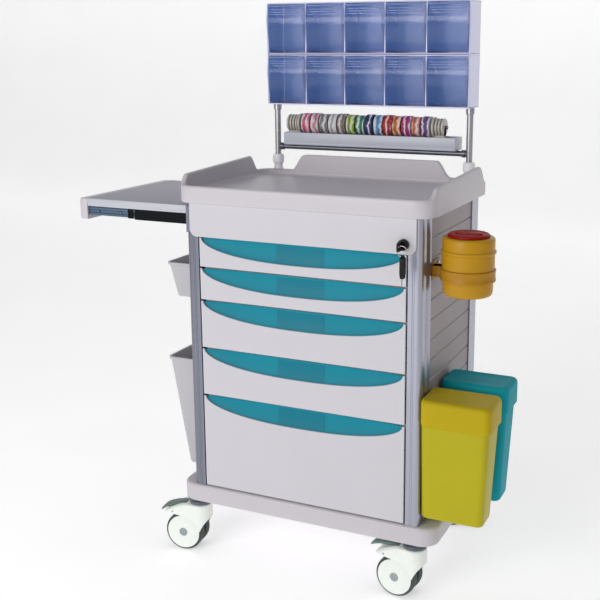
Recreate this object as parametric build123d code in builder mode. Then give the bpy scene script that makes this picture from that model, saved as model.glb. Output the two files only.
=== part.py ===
"""Medical drawer trolley: five drawers, moulded worktop, pull-out side shelf, tilt-bin rack, bins and casters.

Millimetres, +Z up, -Y is the front (drawer side), floor at Z = 0. The trolley's own centre stands at
(trolley_x, trolley_y), so that the origin is under the middle of the whole outline with the side shelf out.
"""

import os

from build123d import *

os.makedirs("parts", exist_ok=True)

# ---------------------------------------------------------------- driving dimensions
trolley_x, trolley_y = 81.5, 16

# heights
wheel_radius = 48
swivel_bottom = 122
base_bottom = 136
base_top = 180
drawer_stack_bottom = 182
drawer_pitches = [72, 78, 116, 116, 232]
drawer_stack_top = drawer_stack_bottom + sum(drawer_pitches)
worktop_bottom = 874
worktop_floor = 894
front_rim_top = 914
post_ledge_top = 908
wall_top = 948

# plan
base_width, base_front, base_back, base_corner = 656, -231, 215, 40
worktop_width, worktop_front, worktop_back, worktop_corner = 625, -238, 200, 45
rim_width, rear_rim_width = 13, 28
column_front, column_back, column_depth = -226, 195, 60
column_inner, column_outer = 257, 289
panel_outer, panel_thickness = 286, 9

# drawers
drawer_half_width, drawer_gap = 254, 4
front_face, front_thickness = -228, 24
lens_half_width, lens_depth = 249, 46
lip_thickness, pocket_depth = 4, 18
box_half_width, box_back, box_wall = 243, 150, 2.5
runner_front, runner_back = -200, 155

# side shelf
shelf_reach = 320
shelf_front, shelf_back = -203, 165
shelf_bottom, shelf_thickness = 850, 12
end_plate_thickness, end_plate_bottom = 22, 810

# rack
post_x, post_y, post_radius = 262, 188, 8
crossbar_z, crossbar_radius = 968, 7
rack_half_width, rack_front, rack_back = 269, 150, 238
rack_bottom, row_height, rack_wall = 1079, 127, 3
bins_per_row = 5

# label dispenser
label_half_width, label_front, label_back, label_height = 234, 164, 220, 32
rod_y, rod_z, rod_radius = 192, 1030, 4
roll_widths = [27, 24, 26, 25, 24, 26, 25, 24, 26, 25, 24, 26, 25, 24]
roll_radii = [26, 27, 25, 26, 27, 25, 24, 27, 26, 27, 25, 26, 24, 26]
roll_start = -186

# bins and boxes hung on the sides
hang_x = column_outer + 1.5
waste_length, waste_width, waste_bottom, waste_top, waste_lid_top = 154, 98, 203, 455, 482
yellow_front, teal_front = -234, -94
sharps_x, sharps_y, sharps_radius = 369, -160, 56
sharps_bottom, sharps_top, sharps_step = 706, 832, 764
box_front, box_depth = -146, 112

# casters: swivel axis, and the direction in which each wheel trails
caster_spots = {
    "fl": (-287, -203, 187),
    "fr": (274, -203, 174),
    "rl": (-280, 186, 172),
    "rr": (280, 186, 196),
}
caster_trail = 38


# ---------------------------------------------------------------- planes and export
def level(z):
    """Horizontal plane at height z, centred on the trolley."""
    return Plane(origin=(trolley_x, trolley_y, z))


def facing_front(y):
    """Upright plane at depth y: local x is the trolley's x, local y is height, extrusion goes to the front."""
    return Plane(origin=(trolley_x, trolley_y + y, 0), x_dir=(1, 0, 0), z_dir=(0, -1, 0))


def facing_right(x):
    """Upright plane at x: local x is depth y, local y is height, extrusion goes to the right."""
    return Plane(origin=(trolley_x + x, trolley_y, 0), x_dir=(0, 1, 0), z_dir=(1, 0, 0))


def save(shape, name):
    shape.label = name
    export_step(shape, f"parts/{name}.step")


def save_group(name, *shapes):
    save(Compound(children=list(shapes)), name)


def block(x0, x1, y0, y1, z0, z1):
    """A plain bar between two corners, given in the trolley's own x, y and z."""
    with BuildPart() as bar:
        with BuildSketch(level(z0)):
            with Locations(((x0 + x1) / 2, (y0 + y1) / 2)):
                Rectangle(x1 - x0, y1 - y0)
        extrude(amount=z1 - z0)
    return bar.part


# ---------------------------------------------------------------- base plate
base_mid_y = (base_front + base_back) / 2
base_depth = base_back - base_front

with BuildPart() as base_plate:
    with BuildSketch(level(base_bottom)):
        with Locations((0, base_mid_y)):
            RectangleRounded(base_width, base_depth, base_corner)
    extrude(amount=base_top - base_bottom)
    fillet(base_plate.edges().group_by(Axis.Z)[-1], radius=7)
    fillet(base_plate.edges().group_by(Axis.Z)[0], radius=3)
save(base_plate.part, "base_plate")


# ---------------------------------------------------------------- columns, cross rails and skins
column_wall = 3
shelf_slot_bottom = end_plate_bottom - 6
shelf_slot_top = shelf_bottom + shelf_thickness + 4
shelf_slot_front, shelf_slot_back = shelf_front - 5, shelf_back + 7


def column(side, front_y, back_y, slotted):
    """One hollow column; side is -1 for left and 1 for right. The left ones let the side shelf through."""
    middle = ((column_inner + column_outer) / 2 * side, (front_y + back_y) / 2)
    with BuildPart() as tube:
        with BuildSketch(level(base_top)):
            with Locations(middle):
                RectangleRounded(column_outer - column_inner, back_y - front_y, 6)
                Rectangle(column_outer - column_inner - 2 * column_wall,
                          back_y - front_y - 2 * column_wall, mode=Mode.SUBTRACT)
        extrude(amount=worktop_bottom - base_top)
        if slotted:
            with BuildSketch(level(shelf_slot_bottom)):
                with Locations((middle[0], (shelf_slot_front + shelf_slot_back) / 2)):
                    Rectangle(60, shelf_slot_back - shelf_slot_front)
            extrude(amount=shelf_slot_top - shelf_slot_bottom, mode=Mode.SUBTRACT)
    return tube.part


rail_bottom, rail_top = 806, 868
front_rail = block(-column_inner, column_inner, column_front + 5, shelf_slot_front, rail_bottom, rail_top)
rear_rail = block(-column_inner, column_inner, shelf_slot_back, column_back - 8, rail_bottom, rail_top)
save_group(
    "frame_columns",
    column(-1, column_front, column_front + column_depth, True),
    column(1, column_front, column_front + column_depth, False),
    column(-1, column_back - column_depth, column_back, True),
    column(1, column_back - column_depth, column_back, False),
    front_rail,
    rear_rail,
)


def side_panel(side, top):
    """Skin between the columns, with shallow grooves across its outer face."""
    panel_front = column_front + column_depth
    panel_back = column_back - column_depth
    mid_x = side * (panel_outer - panel_thickness / 2)
    mid_y = (panel_front + panel_back) / 2
    with BuildPart() as panel:
        with BuildSketch(level(base_top)):
            with Locations((mid_x, mid_y)):
                Rectangle(panel_thickness, panel_back - panel_front)
        extrude(amount=top - base_top)
        with BuildSketch(facing_right(side * panel_outer)):
            with Locations((mid_y, (base_top + worktop_bottom) / 2)):
                with GridLocations(1, 64, 1, 10):
                    SlotOverall(panel_back - panel_front - 40, 6)
        extrude(amount=-1.5 * side, mode=Mode.SUBTRACT)
    return panel.part


save(side_panel(-1, shelf_slot_bottom), "side_panel_left")
save(side_panel(1, worktop_bottom), "side_panel_right")
save(block(-column_inner, column_inner, column_back - 8, column_back - 4, base_top, worktop_bottom), "back_panel")

fascia_half_width, fascia_thickness = 277, 5
lock_x, lock_z, lock_radius = 249, 818, 10

with BuildPart() as front_fascia:
    with BuildSketch(facing_front(column_front)):
        with Locations((0, (drawer_stack_top + worktop_bottom) / 2)):
            Rectangle(2 * fascia_half_width, worktop_bottom - drawer_stack_top)
    extrude(amount=fascia_thickness)
    lower_corners = front_fascia.edges().filter_by(Axis.Y).group_by(Axis.Z)[0]
    fillet(lower_corners, radius=18)
    with BuildSketch(facing_front(column_front)):
        with Locations((lock_x, lock_z)):
            Circle(lock_radius)
    extrude(amount=fascia_thickness, mode=Mode.SUBTRACT)
save(front_fascia.part, "front_fascia")


# ---------------------------------------------------------------- worktop
worktop_depth = worktop_back - worktop_front
worktop_mid_y = (worktop_front + worktop_back) / 2
pocket_front = worktop_front + rim_width
pocket_back = worktop_back - rear_rim_width
pocket_mid_y = (pocket_front + pocket_back) / 2
back_wall_half, back_wall_foot = 180, 216
handle_y, handle_z, handle_radius, handle_half = 226, 890, 11, 215

with BuildPart() as worktop:
    with BuildSketch(level(worktop_bottom)):
        with Locations((0, worktop_mid_y)):
            RectangleRounded(worktop_width, worktop_depth, worktop_corner)
    extrude(amount=wall_top - worktop_bottom)
    with BuildSketch(level(worktop_floor)):
        with Locations((0, pocket_mid_y)):
            RectangleRounded(worktop_width - 2 * rim_width, pocket_back - pocket_front,
                             worktop_corner - rim_width)
    extrude(amount=wall_top - worktop_floor, mode=Mode.SUBTRACT)
    # side walls: low at the front, rising behind the front corners, dropping again at the rear corners
    with BuildSketch(facing_right(-worktop_width / 2)):
        with BuildLine():
            sweep_up = Spline((-222, front_rim_top), (-190, wall_top - 12),
                              tangents=[(1, 0), (1, 0)], tangent_scalars=[1.3, 1.3])
            crest = Line((-190, wall_top - 12), (118, wall_top - 1))
            sweep_down = Spline((118, wall_top - 1), (160, post_ledge_top),
                                tangents=[(1, 0), (1, 0)], tangent_scalars=[1.3, 1.3])
            Polyline((160, post_ledge_top), (pocket_back, post_ledge_top), (pocket_back, wall_top + 5),
                     (worktop_front - 5, wall_top + 5), (worktop_front - 5, front_rim_top),
                     (-222, front_rim_top))
        make_face()
    extrude(amount=worktop_width, mode=Mode.SUBTRACT)
    # back wall: stands between the two post ledges
    with BuildSketch(facing_front(worktop_back)):
        for side in (-1, 1):
            with BuildLine():
                Spline((side * back_wall_foot, post_ledge_top), (side * back_wall_half, wall_top),
                       tangents=[(-side, 0), (-side, 0)], tangent_scalars=[1.3, 1.3])
                Polyline((side * back_wall_half, wall_top), (side * back_wall_half, wall_top + 5),
                         (side * 330, wall_top + 5), (side * 330, post_ledge_top),
                         (side * back_wall_foot, post_ledge_top))
            make_face()
    extrude(amount=worktop_back - pocket_back, mode=Mode.SUBTRACT)
    # the back wall is thinner than the ledge it stands on
    with BuildSketch(level(post_ledge_top)):
        with Locations((0, worktop_back - 4)):
            Rectangle(2 * back_wall_foot, 8)
    extrude(amount=wall_top - post_ledge_top, mode=Mode.SUBTRACT)

# push handle behind the tray
with BuildPart() as push_handle:
    with BuildLine(level(0)):
        FilletPolyline((-handle_half, worktop_back - 3, handle_z), (-handle_half, handle_y, handle_z),
                       (handle_half, handle_y, handle_z), (handle_half, worktop_back - 3, handle_z), radius=14)
    handle_start = (trolley_x - handle_half, trolley_y + worktop_back - 3, handle_z)
    with BuildSketch(Plane(origin=handle_start, z_dir=(0, 1, 0))):
        Circle(handle_radius)
    sweep()
save(worktop.part + push_handle.part, "worktop")


# ---------------------------------------------------------------- drawers
def lens(half_width, depth, top):
    """Closed half ellipse hanging below a straight top edge."""
    with BuildSketch() as smile:
        with Locations((0, top)):
            Ellipse(half_width, depth)
        with Locations((0, top)):
            Rectangle(2 * half_width, depth + 1, align=(Align.CENTER, Align.MIN), mode=Mode.SUBTRACT)
    return smile.sketch


runner_height, runner_thickness = 18, 6
channel_wall, channel_play = 1.5, 0.4


def drawer(index, bottom, top):
    """Drawer front with its finger pocket, box and two runner bars, and the finger-pull insert."""
    pocket_back_y = front_face + pocket_depth
    box_bottom = bottom + 8
    box_top = min(top - 12, bottom + 176)
    with BuildPart() as body:
        with BuildSketch(facing_front(front_face + front_thickness)):
            with Locations((0, (bottom + top) / 2)):
                Rectangle(2 * drawer_half_width, top - bottom)
        extrude(amount=front_thickness)
        fillet(body.edges().group_by(Axis.Y)[0], radius=1.5)
        with BuildSketch(facing_front(front_face + lip_thickness)):
            add(lens(lens_half_width, lens_depth, top))
        extrude(amount=lip_thickness, mode=Mode.SUBTRACT)
        with BuildSketch(facing_front(pocket_back_y + 2.5)):
            add(lens(lens_half_width + 2, lens_depth + 12, top))
        extrude(amount=pocket_depth + 2.5 - lip_thickness, mode=Mode.SUBTRACT)
        with BuildSketch(level(box_bottom)):
            with Locations((0, (front_face + front_thickness + box_back) / 2)):
                Rectangle(2 * box_half_width, box_back - front_face - front_thickness)
        extrude(amount=box_top - box_bottom)
        with BuildSketch(level(box_bottom + box_wall)):
            with Locations((0, (front_face + front_thickness + box_back - box_wall) / 2)):
                Rectangle(2 * (box_half_width - box_wall), box_back - box_wall - front_face - front_thickness)
        extrude(amount=box_top - box_bottom, mode=Mode.SUBTRACT)
    bar_middle = box_bottom + 16
    bars = []
    for side in (-1, 1):
        x_near, x_far = sorted((side * box_half_width, side * (box_half_width + runner_thickness)))
        bars.append(block(x_near, x_far, runner_front, runner_back,
                          bar_middle - runner_height / 2, bar_middle + runner_height / 2))
    save_group(f"drawer_{index}_body", body.part, *bars)

    with BuildPart() as insert:
        with BuildSketch(facing_front(pocket_back_y + 2.5)):
            add(lens(lens_half_width + 2, lens_depth + 12, top))
        extrude(amount=pocket_depth + 2.5 - lip_thickness)
        with BuildSketch(facing_front(pocket_back_y)):
            add(lens(lens_half_width - 0.5, lens_depth + 9.5, top))
        extrude(amount=pocket_depth, mode=Mode.SUBTRACT)
    save(insert.part, f"drawer_{index}_handle")
    return bar_middle


runner_levels = []
upper = drawer_stack_top
for number, pitch in enumerate(drawer_pitches, start=1):
    lower = upper - pitch
    runner_levels.append(drawer(number, lower + drawer_gap / 2, upper - drawer_gap / 2))
    upper = lower


def fixed_channel(side, middle):
    """C channel fixed to the columns, open towards the drawer."""
    half = runner_height / 2 + channel_play
    inner_face = box_half_width + 1.5
    with BuildPart() as channel:
        with BuildSketch(facing_front(runner_back + 5)):
            with Locations((side * (inner_face + column_inner) / 2, middle)):
                Rectangle(column_inner - inner_face, 2 * (half + channel_wall))
            with Locations((side * (inner_face - 1 + column_inner - channel_wall) / 2, middle)):
                Rectangle(column_inner - channel_wall - inner_face + 1, 2 * half, mode=Mode.SUBTRACT)
        extrude(amount=runner_back + 5 - runner_front)
    return channel.part


# ---------------------------------------------------------------- side shelf and its telescopic slides
shelf_left = -column_outer - shelf_reach
shelf_right = -205
slide_wall = 1.2
slide_levels = {"outer": 17, "mid": 13.5, "inner": 10}
slide_middle = shelf_bottom - 19
slide_depths = {"outer": 0, "mid": 2.2, "inner": 4.4}
slide_inward = 11


def shelf_slide(kind, x0, x1, mirrored):
    """One member of a side-shelf slide: a C channel opening towards the shelf's middle."""
    half = slide_levels[kind]
    web = shelf_front + slide_depths[kind]
    reach = shelf_front + slide_inward
    with BuildPart() as member:
        with BuildSketch(facing_right(x0)):
            with Locations(((web + reach) / 2, slide_middle)):
                Rectangle(reach - web, 2 * half)
            if kind != "inner":
                with Locations(((web + slide_wall + reach) / 2 + 0.5, slide_middle)):
                    Rectangle(reach - web - slide_wall + 1, 2 * (half - slide_wall), mode=Mode.SUBTRACT)
        extrude(amount=x1 - x0)
    if not mirrored:
        return member.part
    middle_y = trolley_y + (shelf_front + shelf_back) / 2
    middle = Plane(origin=(0, middle_y, 0), x_dir=(1, 0, 0), z_dir=(0, 1, 0))
    return member.part.mirror(middle)


with BuildPart() as side_shelf:
    with BuildSketch(level(shelf_bottom)):
        with Locations(((shelf_left + shelf_right) / 2, (shelf_front + shelf_back) / 2)):
            Rectangle(shelf_right - shelf_left, shelf_back - shelf_front)
    extrude(amount=shelf_thickness)
    with BuildSketch(level(end_plate_bottom)):
        with Locations((shelf_left + end_plate_thickness / 2, (shelf_front + shelf_back) / 2)):
            RectangleRounded(end_plate_thickness, shelf_back - shelf_front, 4)
    extrude(amount=shelf_bottom + shelf_thickness - end_plate_bottom)
    with BuildSketch(level(slide_middle - slide_levels["inner"])):
        for flange_y in (shelf_front + slide_inward + 1.5, shelf_back - slide_inward - 1.5):
            with Locations(((shelf_left + end_plate_thickness + shelf_right) / 2, flange_y)):
                Rectangle(shelf_right - shelf_left - end_plate_thickness, 3)
    extrude(amount=shelf_bottom - slide_middle + slide_levels["inner"])
save(side_shelf.part, "side_shelf")

inner_left = shelf_left + end_plate_thickness
mid_left, mid_right = -450, -150
outer_left, outer_right = -column_outer + 6, 60
save_group(
    "shelf_slides_inner",
    shelf_slide("inner", inner_left, shelf_right, False),
    shelf_slide("inner", inner_left, shelf_right, True),
)
save_group(
    "shelf_slides_mid",
    shelf_slide("mid", mid_left, mid_right, False),
    shelf_slide("mid", mid_left, mid_right, True),
)
save_group(
    "slide_rails_fixed",
    *[fixed_channel(side, middle) for middle in runner_levels for side in (-1, 1)],
    shelf_slide("outer", outer_left, outer_right, False),
    shelf_slide("outer", outer_left, outer_right, True),
    block(-230, -210, shelf_slot_front, shelf_front, slide_middle - 15, slide_middle + 15),
    block(20, 40, shelf_slot_front, shelf_front, slide_middle - 15, slide_middle + 15),
    block(-230, -210, shelf_back, shelf_slot_back, slide_middle - 15, slide_middle + 15),
    block(20, 40, shelf_back, shelf_slot_back, slide_middle - 15, slide_middle + 15),
)


# ---------------------------------------------------------------- lock and keys
lock_reach, plug_radius, key_thickness = 12, 6, 2.6
lock_front = column_front - fascia_thickness - lock_reach

with BuildPart() as lock_housing:
    with BuildSketch(facing_front(column_front)):
        with Locations((lock_x, lock_z)):
            Circle(lock_radius - 0.5)
    extrude(amount=fascia_thickness)
    with BuildSketch(facing_front(column_front - fascia_thickness)):
        with Locations((lock_x, lock_z)):
            Circle(lock_radius + 2)
    extrude(amount=lock_reach)
    fillet(lock_housing.faces().sort_by(Axis.Y)[0].edges(), radius=2)
    with BuildSketch(facing_front(column_front)):
        with Locations((lock_x, lock_z)):
            Circle(plug_radius + 0.05)
    extrude(amount=fascia_thickness + lock_reach, mode=Mode.SUBTRACT)
save(lock_housing.part, "lock_housing")

with BuildPart() as lock_key:
    with BuildSketch(facing_front(column_front - 0.3)):
        with Locations((lock_x, lock_z)):
            Circle(plug_radius)
    extrude(amount=fascia_thickness + lock_reach + 0.7)
    with BuildSketch(facing_right(lock_x - key_thickness / 2)):
        with Locations((lock_front - 14, lock_z)):
            RectangleRounded(28, 20, 6)
        with Locations((lock_front - 21, lock_z)):
            Circle(4, mode=Mode.SUBTRACT)
    extrude(amount=key_thickness)
save(lock_key.part, "lock_key")

ring_y = lock_front - 21
ring_radius, ring_wire = 11, 0.9
ring_x, ring_z = lock_x + 8, lock_z - 7.55
spare_top = ring_z - ring_radius - 4

with BuildPart() as key_ring:
    with BuildSketch(facing_right(ring_x)):
        with Locations((ring_y, ring_z + ring_radius)):
            Circle(ring_wire)
    revolve(axis=Axis((trolley_x + ring_x, trolley_y + ring_y, ring_z), (0, 1, 0)))
with BuildPart() as spare_key:
    with BuildSketch(facing_right(ring_x - key_thickness / 2)):
        with Locations((ring_y, spare_top - 13)):
            RectangleRounded(18, 32, 6)
        with Locations((ring_y, spare_top - 44)):
            Rectangle(8, 32)
        with Locations((ring_y, ring_z - ring_radius)):
            Circle(2, mode=Mode.SUBTRACT)
    extrude(amount=key_thickness)
save_group("spare_key", key_ring.part, spare_key.part)


# ---------------------------------------------------------------- rack posts, collars, bin frames
post_bottom = post_ledge_top

with BuildPart() as rack_posts:
    with BuildSketch(level(post_bottom)):
        with Locations((-post_x, post_y), (post_x, post_y)):
            Circle(post_radius)
    extrude(amount=rack_bottom - post_bottom)
    with BuildSketch(facing_right(-post_x)):
        with Locations((post_y, crossbar_z)):
            Circle(crossbar_radius)
    extrude(amount=2 * post_x)
save(rack_posts.part, "rack_posts")

collar_neck, collar_head = 11.5, 15


def collar(side):
    """Moulded collar: a neck on the worktop's ledge and a wider head that clamps the post."""
    with BuildPart() as ring:
        with BuildSketch(level(post_ledge_top)):
            with Locations((side * post_x, post_y)):
                Circle(collar_neck)
        extrude(amount=14)
        with BuildSketch(level(post_ledge_top + 14)):
            with Locations((side * post_x, post_y)):
                Circle(collar_head)
        extrude(amount=26)
        fillet(ring.faces().sort_by(Axis.Z)[-1].edges(), radius=4)
        with BuildSketch(level(post_ledge_top)):
            with Locations((side * post_x, post_y)):
                Circle(post_radius)
        extrude(amount=60, mode=Mode.SUBTRACT)
    return ring.part


save_group("post_collars", collar(-1), collar(1))

cell_pitch = (2 * rack_half_width - rack_wall) / bins_per_row
cell_width = cell_pitch - rack_wall


def bin_frame(bottom):
    """One row of open cells with a closed back."""
    with BuildPart() as frame:
        with BuildSketch(level(bottom)):
            with Locations((0, (rack_front + rack_back) / 2)):
                Rectangle(2 * rack_half_width, rack_back - rack_front)
        extrude(amount=row_height)
        with BuildSketch(facing_front(rack_back - rack_wall)):
            with Locations((0, bottom + row_height / 2)):
                with GridLocations(cell_pitch, 1, bins_per_row, 1):
                    Rectangle(cell_width, row_height - 2 * rack_wall)
        extrude(amount=rack_back - rack_front, mode=Mode.SUBTRACT)
    return frame.part


save_group("bin_frames", bin_frame(rack_bottom), bin_frame(rack_bottom + row_height))

# tilt bins: side outline from the hinge at the lower front edge
bin_half_width = cell_width / 2 - 1.5
bin_wall = 2
hinge_y, hinge_lift = rack_front + 10, 10


def bin_outline(bottom, inset, open_top):
    """Side outline of a tilt bin. inset moves the walls inwards; open_top lets the cutter run out above."""
    low = bottom + rack_wall + 3 + inset
    high = bottom + row_height - rack_wall - 5
    rear = rack_back - rack_wall - 16 - inset
    front_low = (rack_front + 6 + inset, low)
    front_bulge = (rack_front - 15 + inset, bottom + row_height * 0.68)
    front_high = (rack_front - 4 + inset, high)
    if open_top:
        top_edge = [(rack_front - 4 + inset, high + 20), (rear, high + 20)]
    else:
        top_edge = [(rack_front + 12, high), (rear, bottom + row_height * 0.6)]
    with BuildSketch() as outline:
        with BuildLine():
            Polyline(front_low, front_bulge, front_high, *top_edge, (rear, low + 8), (rear - 8, low), front_low)
        make_face()
    return outline.sketch


bin_boss = 1.3


def tilt_bin(name, x, bottom):
    with BuildPart() as tray:
        with BuildSketch(facing_right(x - bin_half_width)):
            add(bin_outline(bottom, 0, False))
        extrude(amount=2 * bin_half_width)
        with BuildSketch(facing_right(x - bin_half_width + bin_wall)):
            add(bin_outline(bottom, bin_wall, True))
        extrude(amount=2 * (bin_half_width - bin_wall), mode=Mode.SUBTRACT)
        with BuildSketch(facing_right(x - bin_half_width - bin_boss)):
            with Locations((hinge_y, bottom + hinge_lift)):
                Circle(3)
        extrude(amount=bin_boss)
        with BuildSketch(facing_right(x + bin_half_width)):
            with Locations((hinge_y, bottom + hinge_lift)):
                Circle(3)
        extrude(amount=bin_boss)
    save(tray.part, name)


for slot in range(2 * bins_per_row):
    row, place = divmod(slot, bins_per_row)
    tilt_bin(
        f"tilt_bin_{slot + 1:02d}",
        (place - (bins_per_row - 1) / 2) * cell_pitch,
        rack_bottom + (1 - row) * row_height,
    )


# ---------------------------------------------------------------- label dispenser
trough_bottom = crossbar_z + crossbar_radius
trough_wall = 2.5

with BuildPart() as label_trough:
    with BuildSketch(level(trough_bottom)):
        with Locations((0, (label_front + label_back) / 2)):
            RectangleRounded(2 * label_half_width, label_back - label_front, 3)
    extrude(amount=label_height)
    with BuildSketch(level(trough_bottom + trough_wall)):
        with Locations((0, (label_front + label_back) / 2)):
            Rectangle(2 * (label_half_width - trough_wall), label_back - label_front - 2 * trough_wall)
    extrude(amount=label_height, mode=Mode.SUBTRACT)

roll_end = roll_start + sum(roll_widths)


def roll_holder(x0, ribs):
    """Ribbed holder that carries one end of the rod: a foot in the trough and a stack of ribs."""
    with BuildPart() as holder:
        with BuildSketch(facing_right(x0)):
            with Locations((rod_y, (trough_bottom + trough_wall + rod_z) / 2)):
                Rectangle(16, rod_z - trough_bottom - trough_wall)
            with Locations((rod_y, rod_z)):
                Circle(14)
        extrude(amount=ribs * 8 - 3)
        for rib in range(ribs):
            with BuildSketch(facing_right(x0 + 8 * rib)):
                with Locations((rod_y, rod_z)):
                    Circle(22)
            extrude(amount=5)
        with BuildSketch(facing_right(x0)):
            with Locations((rod_y, rod_z)):
                Circle(rod_radius)
        extrude(amount=ribs * 8, mode=Mode.SUBTRACT)
    return holder.part


left_ribs, right_ribs = 5, 4
with BuildPart() as rod:
    with BuildSketch(facing_right(roll_start - 2 - 8 * left_ribs)):
        with Locations((rod_y, rod_z)):
            Circle(rod_radius)
    extrude(amount=roll_end - roll_start + 4 + 8 * (left_ribs + right_ribs))
save_group(
    "label_tray",
    label_trough.part,
    roll_holder(roll_start - 2 - 8 * left_ribs, left_ribs),
    roll_holder(roll_end + 4, right_ribs),
    rod.part,
)


def roll(x0, width, radius):
    with BuildPart() as ring:
        with BuildSketch(facing_right(x0 + 0.4)):
            with Locations((rod_y, rod_z)):
                Circle(radius)
                Circle(rod_radius + 0.08, mode=Mode.SUBTRACT)
        extrude(amount=width - 0.8)
    return ring.part


roll_lefts = [roll_start + sum(roll_widths[:index]) for index in range(len(roll_widths))]
save_group("label_rolls", *[roll(*sizes) for sizes in zip(roll_lefts, roll_widths, roll_radii)])


# ---------------------------------------------------------------- sharps container
sharps_wall = 2.5
neck_radius, lid_radius = 34, 44
lower_radius = sharps_radius - 2


def sharps_disc(bottom, radius, height, mode=Mode.ADD):
    with BuildSketch(level(bottom)) as disc:
        with Locations((sharps_x, sharps_y)):
            Circle(radius)
    extrude(disc.sketch, amount=height, mode=mode)


with BuildPart() as sharps_container:
    sharps_disc(sharps_bottom, lower_radius, sharps_step - sharps_bottom)
    sharps_disc(sharps_step, sharps_radius, sharps_top - sharps_step)
    sharps_disc(798, sharps_radius + 3, 6)
    fillet(sharps_container.faces().sort_by(Axis.Z)[0].edges(), radius=8)
    fillet(sharps_container.faces().sort_by(Axis.Z)[-1].edges(), radius=3)
    sharps_disc(sharps_bottom + sharps_wall, lower_radius - sharps_wall,
                sharps_top - sharps_bottom - 2 * sharps_wall, Mode.SUBTRACT)
    sharps_disc(sharps_top - 5, neck_radius, 10, Mode.SUBTRACT)
save(sharps_container.part, "sharps_container")

with BuildPart() as sharps_lid:
    sharps_disc(sharps_top + 0.3, lid_radius, 7)
    fillet(sharps_lid.faces().sort_by(Axis.Z)[-1].edges(), radius=2.5)
    sharps_disc(sharps_top - 4, neck_radius - 0.3, 5)
save(sharps_lid.part, "sharps_lid")

holder_bottom, holder_top = 738, sharps_step
holder_radius = sharps_radius + 3
with BuildPart() as sharps_holder:
    with BuildSketch(level(holder_bottom)):
        with Locations((sharps_x, sharps_y)):
            Circle(holder_radius)
        with Locations(((panel_outer + sharps_x) / 2, sharps_y + 8)):
            Rectangle(sharps_x - panel_outer, 24)
        with Locations((sharps_x, sharps_y)):
            Circle(lower_radius, mode=Mode.SUBTRACT)
    extrude(amount=holder_top - holder_bottom)
    with BuildSketch(facing_right(panel_outer)):
        with Locations((sharps_y + 23, (holder_bottom + holder_top) / 2)):
            RectangleRounded(50, 40, 4)
    extrude(amount=3.5)
save(sharps_holder.part, "sharps_holder")


# ---------------------------------------------------------------- waste bins and storage boxes
def tapered_box(x_panel, side, length, front, depth, bottom, top, taper, draft, wall, rim):
    """Open box hung on a side panel: its panel side is upright, the other three sides draw in towards the foot."""
    near, far = x_panel, x_panel + side * length
    middle = ((near + far) / 2, front + depth / 2)
    foot_middle = (middle[0] - side * taper / 2, middle[1])
    with BuildPart() as box:
        with BuildSketch(level(bottom)):
            with Locations(foot_middle):
                RectangleRounded(length - taper, depth - 2 * draft, 12)
        with BuildSketch(level(top)):
            with Locations(middle):
                RectangleRounded(length, depth, 12)
        loft()
        if rim:
            with BuildSketch(level(top - 6)):
                with Locations((middle[0] + side * rim / 2, middle[1])):
                    RectangleRounded(length + rim, depth + 2 * rim, 12 + rim)
            extrude(amount=6)
        with BuildSketch(level(bottom + wall)):
            with Locations(foot_middle):
                RectangleRounded(length - taper - 2 * wall, depth - 2 * draft - 2 * wall, 12 - wall)
        with BuildSketch(level(top)):
            with Locations(middle):
                RectangleRounded(length - 2 * wall, depth - 2 * wall, 12 - wall)
        loft(mode=Mode.SUBTRACT)
    return box.part


lid_play = 1.2
lid_wall = 2.5
lid_skirt_bottom = 424


def waste_lid(front):
    """Lid over the open top, with a skirt on three sides; the panel side is open so that it can swing up."""
    near = hang_x
    length = waste_length + lid_play + lid_wall
    depth = waste_width + 2 * (lid_play + lid_wall)
    middle = (near + length / 2, front + waste_width / 2)
    with BuildPart() as lid:
        with BuildSketch(level(lid_skirt_bottom)):
            with Locations(middle):
                RectangleRounded(length, depth, 14)
        extrude(amount=waste_lid_top - lid_skirt_bottom)
        chamfer(lid.faces().sort_by(Axis.Z)[-1].edges(), length=5)
        with BuildSketch(level(lid_skirt_bottom)):
            with Locations((middle[0] - lid_wall, middle[1])):
                RectangleRounded(length, depth - 2 * lid_wall, 12)
            with Locations((near + 6, middle[1])):
                Rectangle(12, depth - 2 * lid_wall)
        extrude(amount=waste_top + 1 - lid_skirt_bottom, mode=Mode.SUBTRACT)
        with BuildSketch(level(waste_top + 1)):
            with Locations(middle):
                RectangleRounded(length - 20, depth - 20, 8)
        extrude(amount=waste_lid_top - waste_top - 1 - lid_wall, mode=Mode.SUBTRACT)
        with BuildSketch(level(lid_skirt_bottom)):
            with Locations((near + 4, middle[1])):
                Rectangle(8, depth + 10)
        extrude(amount=waste_top - 6 - lid_skirt_bottom, mode=Mode.SUBTRACT)
    return lid.part


for colour, front in (("yellow", yellow_front), ("teal", teal_front)):
    save(tapered_box(hang_x, 1, waste_length, front, waste_width,
                     waste_bottom, waste_top, 12, 12, 2.5, 0), f"waste_bin_{colour}")
    save(waste_lid(front), f"waste_lid_{colour}")

save(tapered_box(-hang_x, -1, 108, box_front, box_depth, 622, 708, 18, 8, 2.5, 4), "storage_box_upper")
save(tapered_box(-hang_x, -1, 114, box_front, box_depth, 183, 466, 40, 14, 2.5, 4), "storage_box_lower")


# ---------------------------------------------------------------- casters
plate_size, plate_thickness, head_radius = 44, 4, 28
stem_radius, stem_play = 6, 0.05
fork_half_width, fork_top = 28, swivel_bottom - 0.4
hood_tail = -88
web_half, wheel_inner, wheel_width = 4.5, 5, 21
axle_radius, rim_radius = 4, 40
hood_bottom = 76
pedal_pivot_s, pedal_pivot_z, pedal_half_width, pedal_pin = -38, 112, 15, 2.5


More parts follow.
